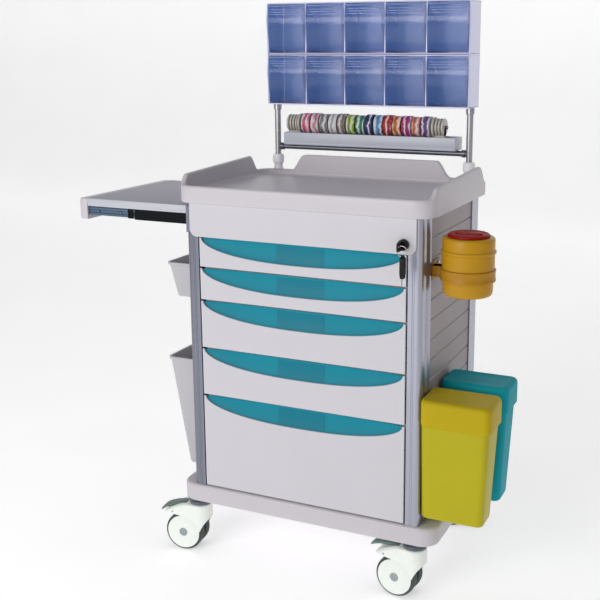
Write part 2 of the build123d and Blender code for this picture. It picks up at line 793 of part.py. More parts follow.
def caster_plate():
    """Top plate with the swivel head below it, bored for the fork's stem."""
    with BuildPart() as plate:
        with BuildSketch(Plane.XY.offset(base_bottom - plate_thickness)):
            RectangleRounded(plate_size, plate_size, 6)
        extrude(amount=plate_thickness)
        with BuildSketch(Plane.XY.offset(swivel_bottom)):
            Circle(head_radius)
        extrude(amount=base_bottom - plate_thickness - swivel_bottom)
        with BuildSketch(Plane.XY.offset(swivel_bottom)):
            Circle(stem_radius + stem_play)
        extrude(amount=10, mode=Mode.SUBTRACT)
    return plate.part


def caster_fork(pedal_pocket):
    """Hooded swivel fork: stem, hood over both wheels and the middle web that carries the axle."""
    side_view = Plane(origin=(0, fork_half_width, 0), x_dir=(1, 0, 0), z_dir=(0, -1, 0))
    with BuildPart() as fork:
        with BuildSketch(side_view):
            with BuildLine():
                Polyline((fork_half_width, hood_bottom), (fork_half_width, fork_top), (-30, fork_top))
                Spline((-30, fork_top), (hood_tail, 98), tangents=[(-1, 0), (-1, -0.8)])
                Polyline((hood_tail, 98), (hood_tail, hood_bottom), (fork_half_width, hood_bottom))
            make_face()
        extrude(amount=2 * fork_half_width)
        with BuildSketch(Plane.XY.offset(hood_bottom)):
            with Locations((hood_tail / 2, 0)):
                Rectangle(-hood_tail, 2 * fork_half_width)
            Circle(fork_half_width)
        extrude(amount=fork_top - hood_bottom, mode=Mode.INTERSECT)
        for low, high in ((web_half, fork_half_width - 1.6), (1.6 - fork_half_width, -web_half)):
            with BuildSketch(Plane(origin=(-caster_trail, high, wheel_radius), x_dir=(1, 0, 0), z_dir=(0, -1, 0))):
                Circle(wheel_radius + 3)
            extrude(amount=high - low, mode=Mode.SUBTRACT)
        with BuildSketch(Plane(origin=(0, web_half, 0), x_dir=(1, 0, 0), z_dir=(0, -1, 0))):
            with BuildLine():
                Polyline((-caster_trail - 9, wheel_radius), (-caster_trail - 30, hood_bottom + 2),
                         (10, hood_bottom + 2), (-caster_trail + 9, wheel_radius))
                RadiusArc((-caster_trail + 9, wheel_radius), (-caster_trail - 9, wheel_radius), 9)
            make_face()
        extrude(amount=2 * web_half)
        with BuildSketch(Plane.XY.offset(fork_top)):
            Circle(stem_radius)
        extrude(amount=9)
        with BuildSketch(Plane(origin=(-caster_trail, web_half, wheel_radius), x_dir=(1, 0, 0), z_dir=(0, -1, 0))):
            Circle(axle_radius + stem_play)
        extrude(amount=2 * web_half, mode=Mode.SUBTRACT)
        if pedal_pocket:
            with BuildSketch(Plane(origin=(0, pedal_half_width + 1, 0), x_dir=(1, 0, 0), z_dir=(0, -1, 0))):
                with BuildLine():
                    Polyline((-30, fork_top + 1), (-30, 103.5), (-46, 103.5), (-98, 95.5), (-98, fork_top + 1),
                             (-30, fork_top + 1))
                make_face()
            extrude(amount=2 * (pedal_half_width + 1), mode=Mode.SUBTRACT)
            with BuildSketch(Plane(origin=(pedal_pivot_s, 22, pedal_pivot_z), x_dir=(1, 0, 0), z_dir=(0, -1, 0))):
                Circle(pedal_pin + stem_play)
            extrude(amount=44, mode=Mode.SUBTRACT)
    return fork.part


def wheel_ring(start, outer, inner):
    with BuildPart() as ring:
        with BuildSketch(Plane(origin=(-caster_trail, start, wheel_radius), x_dir=(1, 0, 0), z_dir=(0, 1, 0))):
            Circle(outer)
            Circle(inner, mode=Mode.SUBTRACT)
        extrude(amount=wheel_width)
        if outer == wheel_radius:
            fillet(ring.edges().filter_by(GeomType.CIRCLE).sort_by(SortBy.RADIUS)[-2:], radius=3)
    return ring.part


def caster_wheel():
    """Axle, two hubs and two tyres, all turning together."""
    with BuildPart() as axle:
        with BuildSketch(Plane(origin=(-caster_trail, -24, wheel_radius), x_dir=(1, 0, 0), z_dir=(0, 1, 0))):
            Circle(axle_radius)
        extrude(amount=48)
    pieces = [axle.part]
    for start in (wheel_inner, -wheel_inner - wheel_width):
        pieces.append(wheel_ring(start, rim_radius, axle_radius))
        pieces.append(wheel_ring(start, wheel_radius, rim_radius))
    return pieces


def brake_pedal(tilt):
    """Rounded bar hinged in the hood, drawn level and turned down by tilt degrees."""
    with BuildPart() as pedal:
        with BuildSketch(Plane(origin=(0, pedal_half_width, 0), x_dir=(1, 0, 0), z_dir=(0, -1, 0))):
            with BuildLine():
                Polyline((-36, 117), (-102, 117), (-106, 113), (-106, 103), (-98, 103), (-96, 110),
                         (-44, 110), (-42, 108), (-36, 108), (-36, 117))
            make_face()
        extrude(amount=2 * pedal_half_width)
        fillet(pedal.edges().filter_by(Axis.Z), radius=2)
        with BuildSketch(Plane(origin=(pedal_pivot_s, 21, pedal_pivot_z), x_dir=(1, 0, 0), z_dir=(0, -1, 0))):
            Circle(pedal_pin)
        extrude(amount=42)
    pivot = Axis((pedal_pivot_s, 0, pedal_pivot_z), (0, -1, 0))
    return pedal.part.rotate(pivot, tilt)


def at_spot(shape, spot):
    """Turn a caster piece drawn with its trail along -X, and stand it on its swivel axis."""
    x, y, trail_direction = caster_spots[spot]
    return shape.moved(Location((trolley_x + x, trolley_y + y, 0), (0, 0, trail_direction - 180)))


plate = caster_plate()
save_group("caster_plates", *[at_spot(plate, spot) for spot in caster_spots])
forks = {True: caster_fork(True), False: caster_fork(False)}
wheel = caster_wheel()
for spot in caster_spots:
    save(at_spot(forks[spot in ("fl", "fr")], spot), f"caster_{spot}_fork")
    save_group(f"caster_{spot}_wheel", *[at_spot(piece, spot) for piece in wheel])

pressed_tilt, raised_tilt = 11, 0
save(at_spot(brake_pedal(pressed_tilt), "fl"), "brake_pedal_left")
save(at_spot(brake_pedal(raised_tilt), "fr"), "brake_pedal_right")


# ---------------------------------------------------------------- fasteners
def screw(plane, x, y, head):
    """Pan-head screw seen from outside: its head stands on the plane."""
    with BuildPart() as bolt:
        with BuildSketch(plane):
            with Locations((x, y)):
                Circle(head)
        extrude(amount=2.5)
        fillet(bolt.faces().sort_by(Axis(plane.origin, plane.z_dir))[-1].edges(), radius=1)
    return bolt.part


holder_face = facing_right(panel_outer + 3.5)
holder_mid_z = (holder_bottom + holder_top) / 2
rack_back_face = Plane(origin=(trolley_x, trolley_y + rack_back, 0), x_dir=(-1, 0, 0), z_dir=(0, 1, 0))
back_face = Plane(origin=(trolley_x, trolley_y + column_back - 4, 0), x_dir=(-1, 0, 0), z_dir=(0, 1, 0))
screws = [screw(holder_face, sharps_y + 38, holder_mid_z + offset, 3.5) for offset in (-12, 12)]
screws += [screw(rack_back_face, x, z, 4) for x in (-post_x + 12, post_x - 12)
           for z in (rack_bottom + 20, rack_bottom + 2 * row_height - 20)]
screws += [screw(back_face, x, z, 4) for x in (-240, 240) for z in (200, 420, 640, 790)]
save_group("fasteners", *screws)
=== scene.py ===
"""Medical drawer trolley: the looks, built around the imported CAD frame. Sizes are in millimetres from the trolley's
own centre line, as in the CAD; at() turns them into the shared frame in metres."""

import math

import bmesh
import bpy
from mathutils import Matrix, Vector


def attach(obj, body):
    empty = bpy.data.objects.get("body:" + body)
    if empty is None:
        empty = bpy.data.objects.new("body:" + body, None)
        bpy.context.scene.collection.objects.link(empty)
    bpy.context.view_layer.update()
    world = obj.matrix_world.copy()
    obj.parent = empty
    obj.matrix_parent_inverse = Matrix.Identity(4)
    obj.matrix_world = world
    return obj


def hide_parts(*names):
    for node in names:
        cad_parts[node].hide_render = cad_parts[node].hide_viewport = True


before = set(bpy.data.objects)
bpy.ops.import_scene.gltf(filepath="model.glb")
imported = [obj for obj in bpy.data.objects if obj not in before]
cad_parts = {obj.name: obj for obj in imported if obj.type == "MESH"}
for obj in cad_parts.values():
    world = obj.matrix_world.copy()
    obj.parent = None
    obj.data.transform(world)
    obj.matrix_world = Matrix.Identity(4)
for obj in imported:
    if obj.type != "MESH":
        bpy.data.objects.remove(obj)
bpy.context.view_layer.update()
scene = bpy.context.scene
SHIFT_X, SHIFT_Y = 81.5, 16.0
BASE_TOP, WORKTOP_BOTTOM, STACK_TOP = 180, 874, 796
COLUMN_IN, COLUMN_OUT, COLUMN_FRONT, COLUMN_BACK = 257, 289, -226, 195
RIB_STEP = 46
FRONT_HALF, DRAWER_FACE = 254, -228
POST_X, POST_Y, CROSSBAR_Z = 262, 188, 968
ROD_Y, ROD_Z, ROLLS_LEFT = 192, 1030, -186.0
WALL_X = 290.5  # side bins and boxes start here, clear of the columns
SHELF_FRONT, SHELF_BACK, SLIDE_Z = -203, 165, 831


def at(x, y, z):
    return Vector(((x + SHIFT_X) / 1000, (y + SHIFT_Y) / 1000, z / 1000))


# ------------------------------------------------------------------ materials
def new_material(name):
    material = bpy.data.materials.new(name)
    material.use_nodes = True
    tree = material.node_tree
    return material, tree, tree.nodes["Principled BSDF"]


def link(tree, a, b):
    tree.links.new(a, b)


def noise(tree, coords, scale, detail=3.0, rough=0.5):
    node = tree.nodes.new("ShaderNodeTexNoise")
    node.inputs["Scale"].default_value = scale
    node.inputs["Detail"].default_value = detail
    node.inputs["Roughness"].default_value = rough
    link(tree, coords, node.inputs["Vector"])
    return node.outputs["Fac"]


def ramp(tree, source, stops):
    node = tree.nodes.new("ShaderNodeValToRGB")
    elements = node.color_ramp.elements
    while len(elements) < len(stops):
        elements.new(0.5)
    for element, (place, colour) in zip(elements, stops):
        element.position = place
        element.color = (*colour, 1.0) if len(colour) == 3 else colour
    link(tree, source, node.inputs["Fac"])
    return node.outputs["Color"]


def emboss(tree, shader, height, strength, distance):
    relief = tree.nodes.new("ShaderNodeBump")
    relief.inputs["Strength"].default_value = strength
    relief.inputs["Distance"].default_value = distance
    link(tree, height, relief.inputs["Height"])
    link(tree, relief.outputs["Normal"], shader.inputs["Normal"])


def grey(value):
    return (value, value, value)


def scaled(colour, factor):
    return tuple(min(1.0, channel * factor) for channel in colour)


def linear(display):
    """Display values 0-255 to linear light."""
    return tuple(((c / 255 + 0.055) / 1.055) ** 2.4 if c > 10 else c / 3295 for c in display)


def moulded(name, display, rough=0.38, grain=900.0, bump=0.12, mottle=0.05, wear_and_highlight=0.25, coat=0.0, alpha=1.0,
            specular=0.5):
    """Moulded or painted surface: slow colour drift, fine grain in the gloss and the relief, lightened rubbed edges
    (on the bins a painted edge highlight).
    """
    material, tree, shader = new_material(name)
    colour = linear(display)
    coords = tree.nodes.new("ShaderNodeTexCoord").outputs["Object"]
    drift = noise(tree, coords, 7.0, 4.0)
    base = ramp(tree, drift, [(0.30, scaled(colour, 1 - mottle)), (0.70, scaled(colour, 1 + mottle))])
    geometry = tree.nodes.new("ShaderNodeNewGeometry").outputs["Pointiness"]
    # convex edges lightened: rubbed wear, and on the bins painted edge highlights
    edge = ramp(tree, geometry, [(0.53, grey(0.0)), (0.62, grey(wear_and_highlight))])
    mix = tree.nodes.new("ShaderNodeMixRGB")
    link(tree, edge, mix.inputs["Fac"])
    link(tree, base, mix.inputs["Color1"])
    mix.inputs["Color2"].default_value = (*scaled(colour, 1.22), 1.0)
    link(tree, mix.outputs["Color"], shader.inputs["Base Color"])
    smudge = noise(tree, coords, 28.0, 5.0, 0.65)
    gloss = ramp(tree, smudge, [(0.25, grey(max(0.04, rough - 0.03))), (0.75, grey(rough + 0.04))])
    link(tree, gloss, shader.inputs["Roughness"])
    emboss(tree, shader, noise(tree, coords, grain, 2.0), bump, 0.0006)
    shader.inputs["Specular IOR Level"].default_value = specular
    if coat:
        shader.inputs["Coat Weight"].default_value = coat
        shader.inputs["Coat Roughness"].default_value = 0.08
    if alpha < 1:
        shader.inputs["Alpha"].default_value = alpha
    return material


def brushed(name, display, rough=0.3, direction="Z", streak=0.10, metallic=1.0):
    """Drawn or extruded metal: fine streaks along one direction."""
    material, tree, shader = new_material(name)
    colour = linear(display)
    coords = tree.nodes.new("ShaderNodeTexCoord").outputs["Object"]
    mapping = tree.nodes.new("ShaderNodeMapping")
    stretch = {"X": (3, 900, 900), "Y": (900, 3, 900), "Z": (900, 900, 3)}[direction]
    mapping.inputs["Scale"].default_value = stretch
    link(tree, coords, mapping.inputs["Vector"])
    streaks = noise(tree, mapping.outputs["Vector"], 1.0, 3.0, 0.6)
    base = ramp(tree, streaks, [(0.3, scaled(colour, 1 - streak)), (0.7, scaled(colour, 1 + streak))])
    link(tree, base, shader.inputs["Base Color"])
    gloss = ramp(tree, streaks, [(0.3, grey(rough - 0.06)), (0.7, grey(rough + 0.10))])
    link(tree, gloss, shader.inputs["Roughness"])
    emboss(tree, shader, streaks, 0.05, 0.0003)
    shader.inputs["Metallic"].default_value = metallic
    return material


M = {
    "abs": moulded("abs_white", (199, 194, 200), 0.40, 1400, 0.10, 0.02),
    "front": moulded("drawer_white", (201, 199, 205), 0.38, 1700, 0.07, 0.012),
    "skin": moulded("panel_paint", (152, 142, 145), 0.48, 1500, 0.10, 0.03),
    "teal": moulded("handle_teal", (12, 134, 154), 0.46, 1500, 0.06, 0.05, specular=0.18),
    "label": moulded("label_window", (10, 120, 140), 0.40, 600, 0.03, 0.03, specular=0.18),
    # the columns' aluminium in two copies: the right columns' lighter copy is painted light, the left columns' darker
    # copy is painted shade
    "column": brushed("column_aluminium", (166, 167, 180), 0.28, "Z", 0.06, 0.85),
    "column_painted_shade": brushed("column_aluminium_painted_shade", (126, 127, 140), 0.28, "Z", 0.06, 0.85),
    "steel": brushed("slide_steel", (150, 160, 175), 0.32, "X", 0.10),
    "inner": brushed("slide_inner", (96, 112, 134), 0.34, "X", 0.10),
    "black": moulded("slide_black", (12, 15, 20), 0.55, 900, 0.10, 0.10, specular=0.1),
    "strip": moulded("shelf_strip", (190, 192, 200), 0.36, 1200, 0.06, 0.02),
    "laminate": moulded("shelf_laminate", (168, 166, 180), 0.50, 1600, 0.10, 0.03),
    "post": brushed("post_metal", (175, 175, 180), 0.26, "Z", 0.07, 0.8),
    # cross tube metal much darker than the posts: painted shade from the label tray above it
    "bar": brushed("bar_metal_painted_shade", (104, 105, 112), 0.30, "X", 0.07, 0.8),
    "collar": moulded("collar_white", (244, 243, 246), 0.35, 1200, 0.08, 0.02),
    "rack": moulded("rack_lavender", (216, 218, 252), 0.22, 1200, 0.05, 0.03, coat=0.3),
    # bins: strong edge lightening as painted edge highlights
    "bin": moulded("bin_blue", (92, 132, 206), 0.12, 800, 0.03, 0.10, wear_and_highlight=0.6, coat=0.5, alpha=0.24),
    # ribs, lip and hinge buttons in a lighter blue; at the bin's top it is painted highlight
    "bin_rib_painted_highlight": moulded("bin_rib_painted_highlight", (120, 160, 222), 0.12, 800, 0.03, 0.10, coat=0.6, alpha=0.6),
    "tray": moulded("label_tray_white", (194, 197, 208), 0.33, 1200, 0.07, 0.02),
    "gold": moulded("sharps_gold", (184, 136, 6), 0.34, 900, 0.06, 0.05, specular=0.3),
    "band": moulded("sharps_band", (172, 122, 14), 0.40, 900, 0.06, 0.05, specular=0.3),
    "red": moulded("sharps_red", (146, 16, 8), 0.42, 900, 0.06, 0.08, specular=0.2),
    "yellow": moulded("waste_yellow", (180, 169, 12), 0.40, 1000, 0.06, 0.04, specular=0.25),
    "olive": moulded("waste_yellow_lid", (184, 162, 12), 0.46, 1000, 0.06, 0.04, specular=0.15),
    "aqua": moulded("waste_teal", (14, 152, 166), 0.5, 1000, 0.06, 0.04, specular=0.1),
    "box": moulded("box_white", (188, 186, 191), 0.36, 1000, 0.07, 0.02),
    "caster": moulded("caster_white", (242, 246, 240), 0.26, 1200, 0.05, 0.01, coat=0.2),
    "head": moulded("caster_head", (84, 92, 102), 0.34, 900, 0.08, 0.12),
    "tyre": moulded("tyre_grey", (58, 70, 70), 0.52, 700, 0.20, 0.12),
    "hub": moulded("hub_grey", (152, 162, 164), 0.30, 900, 0.06, 0.05),
    "pedal": moulded("pedal_green", (104, 124, 118), 0.45, 500, 0.30, 0.06),
    "lock": moulded("lock_black", (12, 12, 15), 0.42, 900, 0.05, 0.10, specular=0.22),
    "nickel": brushed("key_nickel", (190, 190, 188), 0.24, "Z", 0.08),
    "holder": moulded("roll_holder", (196, 190, 178), 0.35, 1000, 0.08, 0.03),
}
ROLLS = {
    "pink": (226, 120, 150), "pink_stripe": (222, 170, 180), "stone": (150, 150, 150), "white": (222, 222, 222),
    "taupe": (160, 145, 135), "lime": (160, 190, 60), "green": (60, 150, 110), "navy": (50, 60, 110),
    "sky": (120, 170, 215), "red": (196, 52, 48), "orange": (224, 130, 50), "magenta": (190, 60, 130),
    "salmon": (226, 140, 120), "purple": (120, 90, 150),
}


# ------------------------------------------------------------------ mesh tools
bm = bmesh.new()  # every shape function adds to this mesh, until take() closes it and opens the next


def take(name):
    """Close the open mesh as a smooth object and open the next."""
    global bm
    mesh = bpy.data.meshes.new(name)
    bm.to_mesh(mesh)
    bm.free()
    bm = bmesh.new()
    obj = bpy.data.objects.new(name, mesh)
    scene.collection.objects.link(obj)
    for polygon in mesh.polygons:
        polygon.use_smooth = True
    return obj


def piece(name, material, body, bevel=0.0, segments=2, angle=30, replaces=()):
    """Make the open mesh one visible piece: round its edges (bevel in mm) and let it ride on a body."""
    bmesh.ops.remove_doubles(bm, verts=bm.verts, dist=1e-6)
    bmesh.ops.recalc_face_normals(bm, faces=bm.faces)
    obj = take(name)
    if bevel:
        modifier = obj.modifiers.new("edges", "BEVEL")
        modifier.width = bevel / 1000
        modifier.segments = segments
        modifier.limit_method = "ANGLE"
        modifier.angle_limit = math.radians(angle)
        modifier.harden_normals = True
        modifier.use_clamp_overlap = True
    else:
        obj.data.set_sharp_from_angle(angle=math.radians(angle))
    obj.data.materials.append(M[material])
    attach(obj, body)
    if replaces:
        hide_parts(*replaces)


def add_faces(points, faces):
    verts = [bm.verts.new(p) for p in points]
    for face in faces:
        bm.faces.new([verts[i] for i in face])


def loft(loops, cap_start=True, cap_end=True, closed=True):
    """Skin a list of equal-length point loops."""
    rows = [[bm.verts.new(p) for p in loop] for loop in loops]
    count = len(loops[0])
    for low, high in zip(rows, rows[1:]):
        for i in range(count if closed else count - 1):
            j = (i + 1) % count
            bm.faces.new((low[i], low[j], high[j], high[i]))
    if cap_start:
        bm.faces.new(list(reversed(rows[0])))
    if cap_end:
        bm.faces.new(rows[-1])


def block(x0, x1, y0, y1, z0, z1):
    loft([[at(x0, y0, z), at(x1, y0, z), at(x1, y1, z), at(x0, y1, z)] for z in (z0, z1)])


def extrude_outline(outline, place, start, end):
    """Prism of a flat outline; place(u, v, w) gives the point."""
    loft([[place(u, v, w) for u, v in outline] for w in (start, end)])


def circle(count):
    """Unit circle as (cosine, sine) pairs."""
    return [(math.cos(2 * math.pi * k / count), math.sin(2 * math.pi * k / count)) for k in range(count)]


def polar(radius, degrees):
    """Offset from a circle's centre."""
    return radius * math.cos(math.radians(degrees)), radius * math.sin(math.radians(degrees))


def rounded_rect(x0, x1, y0, y1, radius, arc=8, straight=1):
    """Counter-clockwise rounded rectangle as (x, y) points, each straight side cut into equal runs."""
    corners = [(x1 - radius, y0 + radius, -90), (x1 - radius, y1 - radius, 0), (x0 + radius, y1 - radius, 90),
               (x0 + radius, y0 + radius, 180)]
    points = []
    for index, (cx, cy, start) in enumerate(corners):
        points += arc_points(cx, cy, radius, start, start + 90, arc)
        nx, ny, begin = corners[(index + 1) % 4]
        following = arc_points(nx, ny, radius, begin, begin, 1)[0]
        last = points[-1]
        for step in range(1, straight):
            t = step / straight
            points.append((last[0] + (following[0] - last[0]) * t, last[1] + (following[1] - last[1]) * t))
    return points


def slab(x0, x1, y0, y1, radius, levels, arc=8):
    """Stack of rounded rectangles; levels are (z, inset)."""
    loft([level(rounded_rect(x0 + inset, x1 - inset, y0 + inset, y1 - inset, max(1.0, radius - inset), arc), z)
          for z, inset in levels])


def upright(x, y):
    """Place for a turned part whose axis stands at (x, y)."""
    return lambda a, b, h: at(x + a, y + b, h)


def crosswise(y, z):
    """Place for a turned part whose axis runs from left to right."""
    return lambda a, b, h: at(h, y + a, z + b)


def forward(x, face, z):
    """Place for a turned part whose axis runs forward from the depth given."""
    return lambda a, b, h: at(x + a, face - h, z + b)


def prism_x(outline, start, end):
    """Prism along X of a (y, z) outline."""
    extrude_outline(outline, lambda u, v, w: at(w, u, v), start, end)


def prism_y(outline, start, end, side=1):
    """Prism along Y of an (x, z) outline, mirrored for side -1."""
    extrude_outline(outline, lambda u, v, w: at(side * u, w, v), start, end)


def level(points, z):
    """(x, y) points placed at one height."""
    return [at(x, y, z) for x, y in points]


def across(points, x):
    """(y, z) points placed at one distance from the centre line."""
    return [at(x, y, z) for y, z in points]


def lathe(profile, place, segments=64, closed=False):
    """Turn (radius, height) points round; place(a, b, h) gives the point with a, b in the plane of rotation."""
    loops = [[place(radius * c, radius * s, height) for c, s in circle(segments)] for radius, height in profile]
    if closed:
        loops.append(loops[0])
    loft(loops, not closed, not closed)


def tube(path, radius, segments=20, closed=False):
    """Round bar along mm points (already placed vectors)."""
    loops = []
    count = len(path)
    normal = None
    for index, point in enumerate(path):
        before = path[index - 1] if index or closed else path[0]
        after = path[(index + 1) % count] if index < count - 1 or closed else path[-1]
        direction = (after - before).normalized()
        if normal is None:
            normal = direction.orthogonal().normalized()
        normal = (normal - direction * normal.dot(direction)).normalized()
        other = direction.cross(normal)
        loops.append([point + (normal * c + other * s) * radius / 1000 for c, s in circle(segments)])
    if closed:
        loops.append(loops[0])
    loft(loops, not closed, not closed)


def arc_points(cx, cy, radius, start, end, steps):
    arc = [polar(radius, start + (end - start) * k / steps) for k in range(steps + 1)]
    return [(cx + a, cy + b) for a, b in arc]


def dress(node, *materials):
    """Give a CAD node that stays visible its material."""
    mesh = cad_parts[node].data
    mesh.materials.clear()
    for material in materials:
        mesh.materials.append(M[material])
    mesh.set_sharp_from_angle(angle=math.radians(30))


def ease(t):
    t = max(0.0, min(1.0, t))
    return t * t * (3 - 2 * t)


# ------------------------------------------------------------------ worktop
def rim_height(x, y):
    if y > 160:
        return 908.0
    if y > 118:
        return 947 + (908 - 947) * ease((y - 118) / 42)
    if y < -222:
        return 914.0
    if y < -190:
        return 914 + 22 * ease((y + 222) / 32)
    return 936 + 11 * (y + 190) / 308


def worktop():
    outer = rounded_rect(-312.5, 312.5, -238, 200, 45, 10, 60)
    inner = rounded_rect(-299.5, 299.5, -225, 172, 32, 10, 60)
    foot = rounded_rect(-291.5, 291.5, -217, 164, 24, 10, 60)
    under = rounded_rect(-309.5, 309.5, -235, 197, 42, 10, 60)

    def blend(a, b, t):
        return (a[0] + (b[0] - a[0]) * t, a[1] + (b[1] - a[1]) * t)

    loops = [level(under, WORKTOP_BOTTOM), level([blend(a, b, 0.3) for a, b in zip(outer, under)], 874.9),
             level(outer, 877)]
    rise = [(0.0, 8.0), (0.03, 4.2), (0.12, 1.6), (0.28, 0.25), (0.5, 0.0), (0.72, 0.25), (0.88, 1.6), (0.97, 4.2),
            (1.0, 8.0)]
    for share, drop in rise:
        loops.append([at(*blend(a, b, share), rim_height(*a) - drop) for a, b in zip(outer, inner)])
    loops.append(level(inner, 903))
    for share, z in ((0.06, 899.5), (0.30, 896.3), (0.62, 894.6), (1.0, 894.0)):
        loops.append(level([blend(a, b, share) for a, b in zip(inner, foot)], z))
    loft(loops)
    # back wall on the rear ledge
    outline = [(-216, 900)]
    for step in range(13):
        t = step / 12
        outline.append((-216 + 36 * t, 908 + 40 * ease(t)))
    outline += [(x, 948) for x in range(-150, 151, 30)]
    outline += [(-x, z) for x, z in reversed(outline[:14])]
    prism_y(outline, 173.5, 190.5)
    piece("worktop_shell", "abs", "trolley", angle=40, replaces=("worktop",))


def push_handle():
    path = [(-215, 197)] + [(-201 - a, 212 + b) for a, b in arc_points(0, 0, 14, 0, 90, 6)]
    path += [(-x, y) for x, y in reversed(path)]
    tube([at(x, y, 890) for x, y in path], 11, 24)
    for side in (-1, 1):
        lathe([(11.5, 0), (15.5, 0), (16, 1), (15, 4), (12, 6), (11.5, 6)],
              lambda a, b, h, s=side: at(s * 215 + a, 199.5 + h, 890 + b * 0.75), 32)
    piece("push_handle_grip", "abs", "trolley", angle=40)


# ------------------------------------------------------------------ cabinet
def columns():
    for side in (-1, 1):
        for y0, y1, front in ((COLUMN_FRONT, -166, True), (135, COLUMN_BACK, False)):
            x_in, x_out = COLUMN_IN, COLUMN_OUT
            if front:
                corner = arc_points(x_out - 11, y0 + 11, 11, 0, -90, 8)
                outline = [(x_in, y1), (x_out, y1), (x_out, y0 + 34), (x_out - 1.6, y0 + 32.5),
                           (x_out - 1.6, y0 + 28.5), (x_out, y0 + 27)] + corner
                outline += [(x_in + 15, y0), (x_in + 14, y0 + 1.2), (x_in + 11, y0 + 1.2), (x_in + 10, y0), (x_in, y0)]
            else:
                corner = arc_points(x_out - 11, y1 - 11, 11, 90, 0, 8)
                outline = [(x_in, y0), (x_in, y1)] + corner + [(x_out, y0)]
            outline = [(side * x, y) for x, y in outline]
            # the left columns are cut out for the side shelf
            spans = [(BASE_TOP, WORKTOP_BOTTOM)] if side > 0 else [(BASE_TOP, 804), (866, WORKTOP_BOTTOM)]
            for z0, z1 in spans:
                loft([level(outline, z) for z in (z0, z1)])
            if side < 0:
                block(-x_out, -x_in, *((y0, -208) if front else (172, y1)), 804, 866)
        if side > 0:
            for y0, y1 in ((-221, -208), (172, 187)):
                block(-COLUMN_IN, COLUMN_IN, y0, y1, 806, 868)
        # the left columns take the darker copy of the aluminium, painted shade
        piece("column_profiles_" + ("left" if side < 0 else "right"), "column_painted_shade" if side < 0 else "column",
              "trolley", 0.7, 2, 50, ("frame_columns",) if side > 0 else ())


def side_panel(side, top, node):
    """Skin with moulded cross ribs between shallow grooves."""
    outline = [(277, BASE_TOP), (286, BASE_TOP)]
    for z in range(BASE_TOP + RIB_STEP, top, RIB_STEP):
        outline += [(286, z - 4), (283.6, z - 1.6), (283.6, z), (286, z + 1.2)]
    outline += [(286, top), (277, top)]
    prism_y(outline, -166, 135, side)
    piece(node + "_ribbed", "skin", "trolley", 0.8, 2, 25, (node,))


def base():
    slab(-328, 328, -231, 215, 40,
         [(140, 12), (137.5, 6), (136, 4), (136.4, 2.2), (137.6, 0.9), (139.5, 0.2), (142, 0), (172, 0), (175.2, 0.8),
          (177.8, 2.4), (179.4, 4.8), (180, 8)], 10)
    piece("base_moulding", "abs", "trolley", angle=50, replaces=("base_plate",))


def fascia():
    outline = [(-277, WORKTOP_BOTTOM), *arc_points(-259, 814, 18, 180, 270, 8),
               *arc_points(259, 814, 18, 270, 360, 8), (277, WORKTOP_BOTTOM)]
    extrude_outline(outline, lambda u, v, w: at(u, -w, v), 226, 231)
    piece("fascia_panel", "front", "trolley", 1.6, 3, 40, ("front_fascia",))


# ------------------------------------------------------------------ drawers
PITCHES = (72, 78, 116, 116, 232)


PULL_HALF, PULL_DEPTH = 249, 46.0
PULL_STATIONS = [-PULL_HALF * math.cos(math.pi * k / 56) for k in range(57)]


def pull_drop(x):
    """Depth of the curved pull below the drawer's top edge."""
    t = min(1.0, abs(x) / PULL_HALF)
    return PULL_DEPTH * max(0.0, 1 - t ** 2.3) ** 0.5


def pull_grid(places, shares, top, lift=0.0, spread=1.0, turn=False):
    """Rows of the dished pull: from the lip's lower edge it leans back to the drawer's top edge."""
    rows = []
    for share in shares:
        row = []
        for x in places:
            drop = pull_drop(x) + 2.0
            depth = 4.6 + 8.0 * (1 - (1 - min(1.0, share * 1.15)) ** 2) * min(1.0, drop / 34)
            if turn and share > 0.9:
                depth -= 2.0 * (share - 0.9) * 10
            row.append(at(x * spread, DRAWER_FACE + depth - lift, top - 1.0 - drop * (1 - share)))
        rows.append(row)
    return rows


